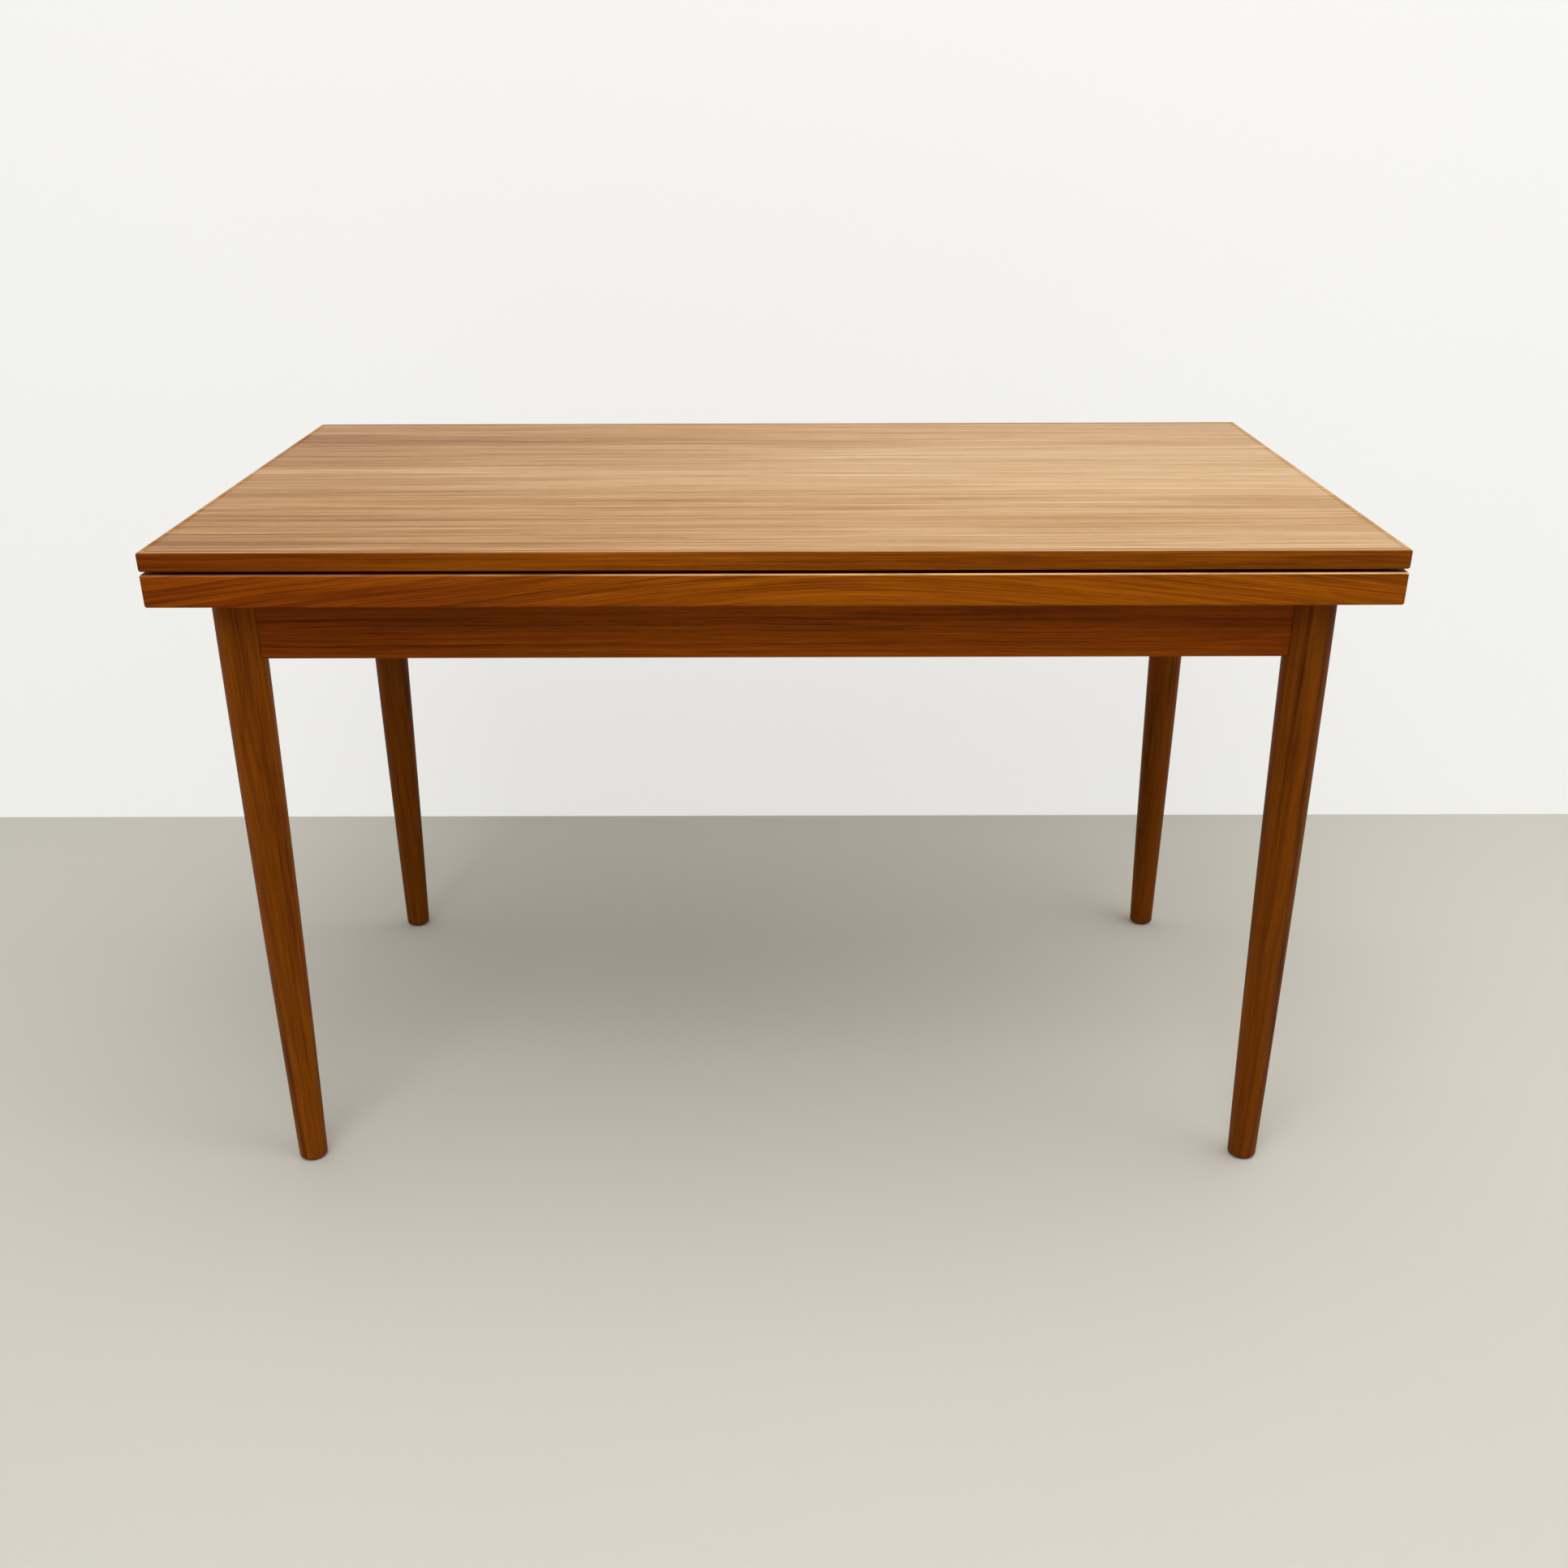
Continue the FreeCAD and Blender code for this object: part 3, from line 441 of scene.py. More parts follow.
@dataclass(frozen=True)
class SolidTeak:
    """Oiled solid wood with growth rings, streaks and pores.

    The ring field is the place across the grain, plus a share of the depth, plus the arch's rise
    times the square root of (distance along the grain from the arch's middle, squared, plus the
    arch's rounding, squared). So the rings of a plain-sawn board run in one long arch with
    straight flanks, and with no rise they run straight. The late wood is the fraction of the ring
    count to a power, cut off at the ring's end. The tone, its middle plus the swings of streaks,
    fine grain and drift, less the late wood and the flames, runs from dark through middle to light.
    """

    name: str
    grain: Axis
    light: Colour
    middle: Colour
    dark: Colour
    arch_middle: float = 0.0
    arch_rise: float = 0.0
    arch_round: float = 0.15
    depth_share: float = 0.35
    ring_pitch: float = 0.0085
    ring_share: float = 0.34
    late_power: float = 3.6
    late_end: tuple[float, float] = (0.90, 1.0)
    waver: float = 0.010
    ring_waver: float = 0.6
    swing: Figure = Figure(2.6, 11.0)
    wobble: Figure = Figure(0.8, 40.0, detail=2.0)
    fading: Figure = Figure(2.2, 45.0, shows=(0.32, 0.66))
    streaks: Figure = Figure(3.5, 260.0, 160.0, detail=4.0, rough=0.62)
    streak_share: float = 0.50
    streak_weight: float = 2.0
    fine: Figure = Figure(14.0, 600.0, rough=0.65)
    fine_weight: float = 1.6
    drift: Figure = Figure(1.4, 30.0)
    drift_share: float = 0.50
    drift_weight: float = 1.5
    flames: Figure = Figure(2.0, 52.0, detail=4.0, rough=0.6, shows=(0.54, 0.74))
    flame_share: float = 0.0
    tone_middle: float = 0.56
    tones: tuple[float, float, float] = (0.10, 0.50, 0.90)
    pores: Figure = Figure(46.0, 1500.0, detail=1.0, shows=(0.60, 0.74))
    pore_share: float = 0.30
    pore_dark: float = 0.4
    # Painted shade with a redder tone: the tint darkens and reddens the wood towards its left end, or both
    # ends of a jointed board.
    end_shade_tint: Colour = (0.78, 0.58, 0.55)
    end_shade_reach: tuple[float, float] = (-0.62, -0.05)
    end_shade_and_red: float = 0.0
    joint: float = 0.0
    joint_width: float = 1.6 * MM
    joint_share: float = 0.75
    joint_dark: float = 0.25
    # Painted highlight: a pale tone on the up-facing arrises, patchy and stronger towards the right.
    arris_highlight: float = 0.0
    highlight_tone: Colour = linear(242, 192, 134)
    highlight_arris: tuple[float, float] = (0.01, 0.12)
    highlight_up: tuple[float, float] = (0.0, 0.3)
    highlight_right: tuple[float, float] = (-0.50, 0.20)
    highlight_left_share: float = 0.12
    highlight_patch_scale: float = 9.0
    highlight_patch_shows: tuple[float, float] = (0.25, 0.60)
    highlight_patch_least: float = 0.35
    # Painted shade: the upper face, which lies in the gap under the top, is darkened.
    gap_shade: float = 0.0
    gap_shade_tone: float = 0.2
    gap_shade_up: tuple[float, float] = (0.97, 1.0)
    rough: float = 0.46
    rough_swing: float = 0.12
    grain_depth: float = 0.12 * MM
    streak_height: float = 0.25
    specular: float = 0.04
    shift: float = 0.0
    face: Optional[TeakVeneer] = None
    face_lean: float = 0.6
    face_shows: tuple[float, float] = (0.45, 0.62)

    def place(self, graph: Graph) -> GrainPlace:
        """Where a point lies in this board."""
        return GrainPlace.of(graph, self.grain, self.shift)

    def ring_field(self, graph: Graph, place: GrainPlace) -> Sock:
        """Distance through the growth rings at a point.

        Args:
            graph: The material being made.
            place: Where the point lies in its board.

        Returns:
            The distance, in metres.
        """
        from_middle = place.along - self.arch_middle - self.shift
        flank = (from_middle * from_middle + self.arch_round ** 2) ** 0.5
        swing = self.swing.drawn(graph, place) - 0.5
        return place.across + place.through * self.depth_share + flank * self.arch_rise + swing * self.waver

    def colour(self, graph: Graph) -> tuple[Sock, Sock, Sock]:
        """Build the colour of this wood in a graph.

        Args:
            graph: The material being made.

        Returns:
            The colour, and the pores and streaks from 0 to 1.
        """
        place = self.place(graph)
        depth = self.ring_field(graph, place)
        by_rings = GrainPlace(place.along, depth, place.through)
        streak, fine = self.streaks.drawn(graph, by_rings), self.fine.drawn(graph, by_rings)
        wobble, fade, drift, flame, pores = (
            figure.drawn(graph, place)
            for figure in (self.wobble, self.fading, self.drift, self.flames, self.pores))
        ring = (depth / self.ring_pitch + wobble * self.ring_waver).fraction()
        late = ring ** self.late_power * (1.0 - ring.between(*self.late_end))
        tone = (self.tone_middle + (streak - 0.5) * (self.streak_share * self.streak_weight)
                + (fine - 0.5) * (self.streak_share * self.fine_weight)
                + (drift - 0.5) * (self.drift_share * self.drift_weight)
                - late * fade * self.ring_share - flame * self.flame_share)
        stops = list(zip(self.tones, (self.dark, self.middle, self.light)))
        wood = self.ends(graph, place, graph.node("ShaderNodeValToRGB", {"stops": stops}, {"Fac": tone}))
        return graph.mix(pores * self.pore_share, wood, scaled(self.dark, self.pore_dark)), pores, streak

    def ends(self, graph: Graph, place: GrainPlace, wood: Sock) -> Sock:
        """Darken and redden the wood towards its left end, or both ends of a jointed board, as painted shade
        over a redder tone, and darken the joint.

        Args:
            graph: The material being made.
            place: Where a point lies in its board.
            wood: The colour of the wood.

        Returns:
            The colour with its ends.
        """
        # Painted shade: a multiplying tint that darkens and reddens the wood towards the end.
        if self.end_shade_and_red:
            inwards = place.along.absolute() * -1.0 if self.joint else place.along - self.shift
            towards_end = 1.0 - inwards.between(*self.end_shade_reach)
            wood = graph.mix(towards_end * self.end_shade_and_red, wood, self.end_shade_tint, "MULTIPLY")
        if self.joint:
            at_joint = place.along.absolute().between(self.joint - self.joint_width, self.joint)
            wood = graph.mix(at_joint * self.joint_share, wood, scaled(self.dark, self.joint_dark))
        return wood

    def painted_light(self, graph: Graph, wood: Sock) -> Sock:
        """Paint a highlight on the arrises that face up, more towards the right, and painted shade on the
        upper face, which lies under the top.

        On an arris no part of the normal is near 1, and the painted highlight follows how far the largest
        part falls short of it.

        Args:
            graph: The material being made.
            wood: The colour of the wood.

        Returns:
            The colour with its painted highlight and painted shade.
        """
        side, depth, up = graph.normal_parts()
        arris = 1.0 - side.absolute().larger(depth.absolute()).larger(up.absolute())
        highlight_patch = graph.noise(graph.position(), self.highlight_patch_scale, detail=4.0, rough=0.6)
        patchy_highlight = highlight_patch.between(*self.highlight_patch_shows)
        towards_right = graph.parts(graph.position())[Axis.ALONG.value].between(*self.highlight_right)
        # Painted highlight: pale on up-facing arrises, broken up by noise, and stronger towards the right
        # where the light falls.
        share = (arris.between(*self.highlight_arris) * up.between(*self.highlight_up) * (patchy_highlight + self.highlight_patch_least)
                 * (self.highlight_left_share + towards_right * (1 - self.highlight_left_share)))
        # Painted shade on the upper face under the top.
        gap_shadow = up.between(*self.gap_shade_up) * self.gap_shade
        wood = graph.mix(gap_shadow, wood, scaled(self.dark, self.gap_shade_tone))
        return graph.mix(share * self.arris_highlight, wood, self.highlight_tone)

    def material(self) -> bpy.types.Material:
        """Make the finish as a material, with veneer on what faces up where the wood is an edge.

        Returns:
            The material.
        """
        graph = Graph(self.name)
        wood, pores, streak = self.colour(graph)
        rough = self.rough + pores * self.rough_swing + (streak - 0.5) * self.rough_swing
        # Painted highlight on the arrises and painted shade on the upper face under the top.
        if self.arris_highlight:
            wood = self.painted_light(graph, wood)
        if self.face is not None:
            face, _ = self.face.colour(graph)
            _, depth, up = graph.normal_parts()
            wood = graph.mix((up - depth.absolute() * self.face_lean).between(*self.face_shows), wood, face)
        height = (1.0 - pores) * (1 - self.streak_height) + streak * self.streak_height
        return graph.finish(wood, rough, height, self.grain_depth, Specular_IOR_Level=self.specular)


@dataclass(frozen=True)
class TurnedTeak(SolidTeak):
    """Solid teak of a turned leg, with rings round the pith of the tree it came from.

    The ring field is the level distance from a pith that stands a little inside each corner of
    the table and leans outwards, so the taper cuts the rings into tall narrow arches.
    """

    pith: Spot = (0.470, 0.262)
    pith_lean: float = 0.035
    swing: Figure = Figure(3.0, 12.0)

    def ring_field(self, graph: Graph, place: GrainPlace) -> Sock:
        """Distance from the pith at a point.

        Args:
            graph: The material being made.
            place: Where the point lies in its leg.

        Returns:
            The distance, in metres.
        """
        side = place.across.absolute() - self.pith[0] - (place.along - self.shift) * self.pith_lean
        depth = place.through.absolute() - self.pith[1]
        swing = self.swing.drawn(graph, place) - 0.5
        return (side ** 2.0 + depth ** 2.0) ** 0.5 + swing * self.waver


@dataclass(frozen=True)
class LippingTeak(SolidTeak):
    """Solid teak of a lipping that goes round four sides, with its grain along each of them."""

    end_facing: tuple[float, float] = (0.69, 0.71)

    def place(self, graph: Graph) -> GrainPlace:
        """Swap the place along the grain for the place through it on the two ends.

        Args:
            graph: The material being made.

        Returns:
            The three distances, in metres.
        """
        place = GrainPlace.of(graph, self.grain, self.shift)
        side = graph.normal_parts()[Axis.ALONG.value]
        swap = (place.through - place.along) * side.absolute().between(*self.end_facing)
        return GrainPlace(place.along + swap, place.across, place.through - swap)


@dataclass(frozen=True)
class Mottled:
    """A finish whose tint, roughness and height follow one noise.

    Where the noise is 0 the tint is the low colour, and where it is 1 the share of the high one
    is mixed in.
    """

    name: str
    low: Colour
    high: Colour
    scale: float
    detail: float
    rough: float
    depth: float
    noise_rough: float = 0.5
    shows: Optional[tuple[float, float]] = None
    share: float = 1.0
    rough_swing: float = 0.0
    metallic: float = 0.0
    sheen: float = 0.0

    def material(self) -> bpy.types.Material:
        """Make the finish as a material.

        Returns:
            The material.
        """
        graph = Graph(self.name)
        mottle = graph.noise(graph.position(), self.scale, self.detail, self.noise_rough)
        if self.shows:
            mottle = mottle.between(*self.shows)
        tint = graph.mix(mottle * self.share, self.low, self.high)
        rough = self.rough + mottle * self.rough_swing if self.rough_swing else self.rough
        return graph.finish(tint, rough, mottle, self.depth, Metallic=self.metallic, Sheen_Weight=self.sheen)


@dataclass(frozen=True)
class Plain:
    """Plain pale finish of the floor or the backdrop, with the faintest mottle.

    The glow is the share of plain white that the camera and reflections see in it.
    """

    name: str
    base: Colour
    mottle: float = 0.02
    mottle_scale: float = 2.5
    glow: float = 0.0
    glow_tint: Colour = (1.0, 1.0, 0.985)

    def material(self) -> bpy.types.Material:
        """Make the finish as a material that shows only on its front side.

        Returns:
            The material.
        """
        graph = Graph(self.name)
        cloud = graph.noise(graph.position(), self.mottle_scale, detail=4.0)
        tint = graph.mix(cloud, scaled(self.base, 1 - self.mottle), self.base)
        painted = graph.node("ShaderNodeBsdfDiffuse", None, {"Color": tint})
        if self.glow:
            camera, glossy, through = (graph.node("ShaderNodeLightPath", out=ray) for ray in
                                       ("Is Camera Ray", "Is Glossy Ray", "Is Transmission Ray"))
            pale = graph.node("ShaderNodeEmission", None, {"Color": self.glow_tint, "Strength": 1.0})
            share = camera.larger(glossy).larger(through) * self.glow
            painted = graph.node("ShaderNodeMixShader", None, [share, painted, pale])
        clear = graph.node("ShaderNodeBsdfTransparent")
        behind = graph.node("ShaderNodeNewGeometry", out="Backfacing")
        graph.close(graph.node("ShaderNodeMixShader", None, [behind, painted, clear]))
        return graph.material


def new_object(name: str, data: bpy.types.ID) -> bpy.types.Object:
    """Put a mesh, a lamp or a camera into the scene.

    Args:
        name: The object's name.
        data: What it holds.

    Returns:
        The new object, at the origin.
    """
    made = bpy.data.objects.new(name, data)
    bpy.context.scene.collection.objects.link(made)
    return made


def mesh_object(name: str, points: np.ndarray, faces: np.ndarray,
                material: bpy.types.Material) -> bpy.types.Object:
    """Put points and four-sided faces into a new object at the origin.

    Args:
        name: The piece's name.
        points: One row of x, y, z per vertex, in metres.
        faces: One row of four vertex numbers per face.
        material: The finish of the whole piece.

    Returns:
        The new object, its doubled points merged and its faces turned outwards and smooth.
    """
    mesh = bpy.data.meshes.new(name)
    mesh.from_pydata(points.tolist(), [], faces.tolist())
    work = bmesh.new()
    work.from_mesh(mesh)
    bmesh.ops.remove_doubles(work, verts=work.verts, dist=MERGE)
    bmesh.ops.dissolve_degenerate(work, edges=work.edges, dist=MERGE)
    bmesh.ops.recalc_face_normals(work, faces=work.faces)
    work.to_mesh(mesh)
    work.free()
    mesh.polygons.foreach_set("use_smooth", [True] * len(mesh.polygons))
    mesh.materials.append(material)
    return new_object(name, mesh)


def grid_faces(rows: int, columns: int) -> np.ndarray:
    """Number the faces of a grid of points whose rows close on themselves.

    Args:
        rows: Rows of points.
        columns: Points in a row.

    Returns:
        One row of four vertex numbers per face.
    """
    row, column = np.meshgrid(np.arange(rows - 1), np.arange(columns), indexing="ij")
    beside = (column + 1) % columns
    corners = (row * columns + column, row * columns + beside,
               (row + 1) * columns + beside, (row + 1) * columns + column)
    return np.stack([c.ravel() for c in corners], axis=1)


def circle(points: int) -> np.ndarray:
    """Angles spread evenly round a circle."""
    return np.linspace(0, 2 * np.pi, points, endpoint=False)


def closed(rows: np.ndarray) -> np.ndarray:
    """The rows with the first and the last one standing twice."""
    return np.concatenate([rows[:1], rows, rows[-1:]])


def raised(outlines: np.ndarray, heights: np.ndarray) -> np.ndarray:
    """The points of flat outlines, each lifted to its own height."""
    level = np.broadcast_to(heights[:, None, None], outlines.shape[:2] + (1,))
    return np.concatenate([outlines, level], axis=2)


@dataclass
class Surface:
    """Points and four-sided faces that are put together before they become a piece."""

    points: np.ndarray
    faces: np.ndarray

    @classmethod
    def of_grid(cls, grid: np.ndarray, wrap_rows: bool = False) -> "Surface":
        """Number a grid of points whose rows close on themselves.

        Args:
            grid: Rows by columns by three coordinates.
            wrap_rows: Whether the last row joins the first one too.

        Returns:
            The surface.
        """
        if wrap_rows:
            grid = np.concatenate([grid, grid[:1]])
        return cls(grid.reshape(-1, 3), grid_faces(*grid.shape[:2]))

    @classmethod
    def together(cls, parts: list["Surface"]) -> "Surface":
        """Put several surfaces into one.

        Args:
            parts: The surfaces.

        Returns:
            One surface that holds them all.
        """
        starts = np.cumsum([0] + [len(part.points) for part in parts[:-1]])
        return cls(np.concatenate([part.points for part in parts]),
                   np.concatenate([part.faces + start for part, start in zip(parts, starts)]))

    def piece(self, name: str, body: str, slot: str, material: bpy.types.Material,
              *replaced: str) -> None:
        """Make the surface a piece of the table.

        Args:
            name: The piece's name.
            body: The body that it rides on.
            slot: The record's material slot; not used.
            material: Its finish.
            *replaced: The CAD nodes that it stands for.
        """
        made = mesh_object(name, self.points, self.faces, material)
        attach(made, body)
        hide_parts(*replaced)
        LOG.info("%s: %d points for %s", name, len(made.data.vertices), ", ".join(replaced))


def rounded_outline(half_x: float, half_y: float, corner: float, inset: np.ndarray,
                    steps: int = 8) -> np.ndarray:
    """Outline of a rounded rectangle at each of several insets.

    At an inset the half sizes and the corner radius are smaller by it, the radius not below
    nothing. A corner's point is its centre + radius * (cos angle, sin angle), and two more
    points stand a short step before and after each arc, so that the flats stay flat.

    Args:
        half_x: Half of the length.
        half_y: Half of the width.
        corner: Corner radius of the outermost outline.
        inset: Distance of each outline inside the outermost one.
        steps: Steps in a quarter circle.

    Returns:
        Insets by points by two coordinates.
    """
    inset = inset[:, None]
    radius = np.maximum(corner - inset, 0)
    lead = np.array([-ARC_LEAD] + [0.0] * (steps + 1) + [ARC_LEAD])
    rows = []
    for turn in range(4):
        angle = np.pi / 2 * turn + closed(np.linspace(0, np.pi / 2, steps + 1))
        sign_x, sign_y = np.sign(np.cos(angle.mean())), np.sign(np.sin(angle.mean()))
        x = sign_x * (half_x - inset - radius) + radius * np.cos(angle) - lead * np.sin(angle)
        y = sign_y * (half_y - inset - radius) + radius * np.sin(angle) + lead * np.cos(angle)
        rows.append(np.stack([x, y], axis=2))
    return np.concatenate(rows, axis=1)


def arris_profile(low: float, high: float, arris: float, steps: int = 6) -> tuple[np.ndarray, np.ndarray]:
    """Insets and heights up the side of a board whose two arrises are quarter circles.

    On an arris the inset is radius * (1 - sin angle) and the rise is radius * (1 - cos angle).
    Two more points stand a short step before and after each arc, so that the flats stay flat.

    Args:
        low: Height of the underside.
        high: Height of the upper side.
        arris: Radius of the arrises.
        steps: Steps in a quarter circle.

    Returns:
        The insets and the heights, from the underside to the upper side.
    """
    angle = np.linspace(0, np.pi / 2, steps + 1)
    inset = arris * (1 - np.sin(angle))
    rise = arris * (1 - np.cos(angle))
    beyond = arris + ARC_LEAD
    insets = np.concatenate([[beyond], inset, [0, 0], inset[::-1], [beyond]])
    heights = np.concatenate([[low], low + rise, [low + beyond, high - beyond], high - rise[::-1], [high]])
    return insets, heights


def slab(low: Vector, high: Vector, corner: float, arris: float) -> Surface:
    """Closed board with rounded upright corners and arrises.

    The outline at each height is inset as the profile says, and the first and last outlines
    close on the board's middle line.

    Args:
        low: Lowest corner.
        high: Highest corner.
        corner: Radius of the upright corners.
        arris: Radius of the arrises.

    Returns:
        The surface.
    """
    half = (high - low) / 2
    middle = (high + low) / 2
    inset, height = arris_profile(low.z, high.z, arris)
    flat = rounded_outline(half.x, half.y, corner, inset)
    reach = np.array([max(half.x - half.y, 0), max(half.y - half.x, 0)])
    ends = np.clip(flat[[0, -1]], -reach, reach)
    flat = np.concatenate([ends[:1], flat, ends[1:]]) + np.array([middle.x, middle.y])
    return Surface.of_grid(raised(flat, closed(height)))


def turned_surface(radius: np.ndarray, height: np.ndarray, start: Vector, along: Vector,
                   wrap_rows: bool = False, around: int = 32) -> Surface:
    """Surface round an axis, from radii and heights on a grid of rows by angles.

    A point is start + height * along + radius * (cos angle * one side + sin angle * the other).

    Args:
        radius: Rows by angles, or one radius per row.
        height: Rows by angles, or one height per row.
        start: Where the axis starts.
        along: Direction of the axis.
        wrap_rows: Whether the last row joins the first one.
        around: Points round the axis, where each row has one radius.

    Returns:
        The surface.
    """
    columns = radius.shape[1] if radius.ndim == 2 else around
    radius = np.broadcast_to(radius.reshape(len(radius), -1), (len(radius), columns))
    height = np.broadcast_to(height.reshape(len(height), -1), (len(height), columns))
    axis = along.normalized()
    side = axis.orthogonal().normalized()
    other = axis.cross(side)
    angle = circle(columns)
    ring = np.outer(np.cos(angle), np.array(side)) + np.outer(np.sin(angle), np.array(other))
    grid = np.array(start) + height[..., None] * np.array(axis) + radius[..., None] * ring
    return Surface.of_grid(grid, wrap_rows)


@dataclass
class Workshop:
    """Makes each finish once and puts it on pieces."""

    made: dict[str, bpy.types.Material] = field(default_factory=dict)

    def material(self, finish: "Finish") -> bpy.types.Material:
        """Hand out a finish's material, made when it is first asked for.

        Args:
            finish: The finish.

        Returns:
            Its material.
        """
        if finish.name not in self.made:
            self.made[finish.name] = finish.material()
            LOG.info("finish %s mixed", finish.name)
        return self.made[finish.name]

    def dress(self, finish: "Finish", *nodes: str) -> None:
        """Put a finish on carried-over CAD nodes.

        Args:
            finish: The finish.
            *nodes: Names of the nodes.
        """
        for node in nodes:
            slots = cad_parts[node].data.materials
            slots.clear()
            slots.append(self.material(finish))
            LOG.info("%s dressed in %s", node, finish.name)


@dataclass
class TurnedLegs:
    """The four turned legs: round, swelling slightly, and splayed towards the corners."""

    shop: Workshop
    splay: Spot = (8 * MM, 4 * MM)
    radii: tuple[float, float, float] = (16.2 * MM, 21.7 * MM, 24.6 * MM)
    foot_round: float = 1.8 * MM
    foot_steps: int = 8
    around: int = 96
    levels: int = 90

    def surface(self, side_x: int, side_y: int, low: float, high: float) -> Surface:
        """Sweep level circles from the foot to the head.

        The radius is the second-order curve through its values at the foot, half way up and at
        the head, the centre moves in a straight line, and a point is centre + radius * (cos
        angle, sin angle). At the foot the radius pulls in along a quarter circle. Both ends
        close on the axis.

        Args:
            side_x: 1 for a leg at the right end, -1 at the left.
            side_y: 1 for a leg at the back, -1 in front.
            low: Height of the foot.
            high: Height of the head.

        Returns:
            The closed surface.
        """
        rounding = self.foot_round / (high - low)
        share = np.concatenate([rounding * (1 - np.cos(np.linspace(0, np.pi / 2, self.foot_steps)))[:-1],
                                np.linspace(rounding, 1, self.levels)])
        foot, middle, head = self.radii
        radius = (foot + (4 * middle - 3 * foot - head) * share
                  + 2 * (foot + head - 2 * middle) * share ** 2)
        rise = np.clip(share / rounding, 0, 1)
        radius = radius - self.foot_round * (1 - np.sqrt(1 - (1 - rise) ** 2))
        corner = np.array([side_x, side_y])
        centre = corner * np.array(LEG_HEAD) + corner * np.array(self.splay) * (1 - share)[:, None]
        angle = circle(self.around)
        ring = np.stack([np.cos(angle), np.sin(angle)], axis=1)
        flat = closed(centre)[:, None, :] + np.pad(radius, 1)[:, None, None] * ring
        return Surface.of_grid(raised(flat, closed(low + share * (high - low))))

    def build(self) -> None:
        """Make the four legs in place of their CAD nodes, and dress their glides."""
        for y_name, side_y in (("front", -1), ("back", 1)):
            for x_name, side_x in (("left", -1), ("right", 1)):
                node = f"leg_{y_name}_{x_name}"
                low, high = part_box(node)
                leg = self.surface(side_x, side_y, low.z, high.z)
                leg.piece("turned_" + node, "frame", "leg_teak", self.shop.material(LEGS[node]), node)
                self.shop.dress(NYLON, f"foot_glide_{y_name}_{x_name}")


@dataclass
class LooseTop:
    """The loose top: a veneered panel in one band of solid teak, with its pegs beneath."""

    shop: Workshop
    lipping: float = 8 * MM
    corner: float = 3 * MM
    arris: float = 2.4 * MM

    def band(self) -> Surface:
        """Carry the lipping's section round the table's rounded outline.

        A point's place is the outline at the section's inset, at the section's height. The
        section runs up the rounded outer side, in over the top, down the inner side and back.

        Returns:
            The closed band.
        """
        low, high = CAD_LOW.copy(), CAD_HIGH.copy()
        low.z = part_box("top_panel")[0].z
        inset, height = arris_profile(low.z, high.z, self.arris)
        inset = np.append(inset, [self.lipping, self.lipping])
        height = np.append(height, [high.z, low.z])
        half = (high - low) / 2
        flat = rounded_outline(half.x, half.y, self.corner, inset)
        return Surface.of_grid(raised(flat, height), wrap_rows=True)

    def build(self) -> None:
        """Make the band and dress the rest of the top."""
        nodes = [f"top_{side}_lipping" for side in ("front", "back", "left", "right")]
        self.band().piece("top_lipping_band", "top", "top_lipping", self.shop.material(BAND), *nodes)
        self.shop.dress(VENEER, "top_panel")
        self.shop.dress(BEECH, "top_guide_pegs")
        self.shop.dress(STEEL, "top_stop_washers")


@dataclass
class RailLayer:
    """The layer under the top: side rails with ledges, felt strips, bearer and centre rail."""

    shop: Workshop
    felt_arris: float = 0.9 * MM

    def build(self) -> None:
        """Make the felt strips and dress the rest."""
        for side in ("front", "back"):
            node = f"{side}_felt_strip"
            strip = slab(*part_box(node), self.felt_arris, self.felt_arris)
            strip.piece(f"{side}_soft_strip", "frame", "felt", self.shop.material(FELT), node)
        self.shop.dress(RAIL, "front_side_rail", "back_side_rail")
        self.shop.dress(CROSS_BEECH, "centre_bearer", "centre_rail")


@dataclass
class ApronFrame:
    """Aprons and corner blocks between the legs."""

    shop: Workshop

    def build(self) -> None:
        """Dress the aprons, blocks and dowels."""
        self.shop.dress(APRON, "front_apron", "back_apron")
        self.shop.dress(END_APRON, "left_apron", "right_apron")
        blocks = [f"corner_block_{y}_{x}" for y in ("front", "back") for x in ("left", "right")]
        self.shop.dress(BEECH, "apron_dowels", "centre_rail_dowels", *blocks)


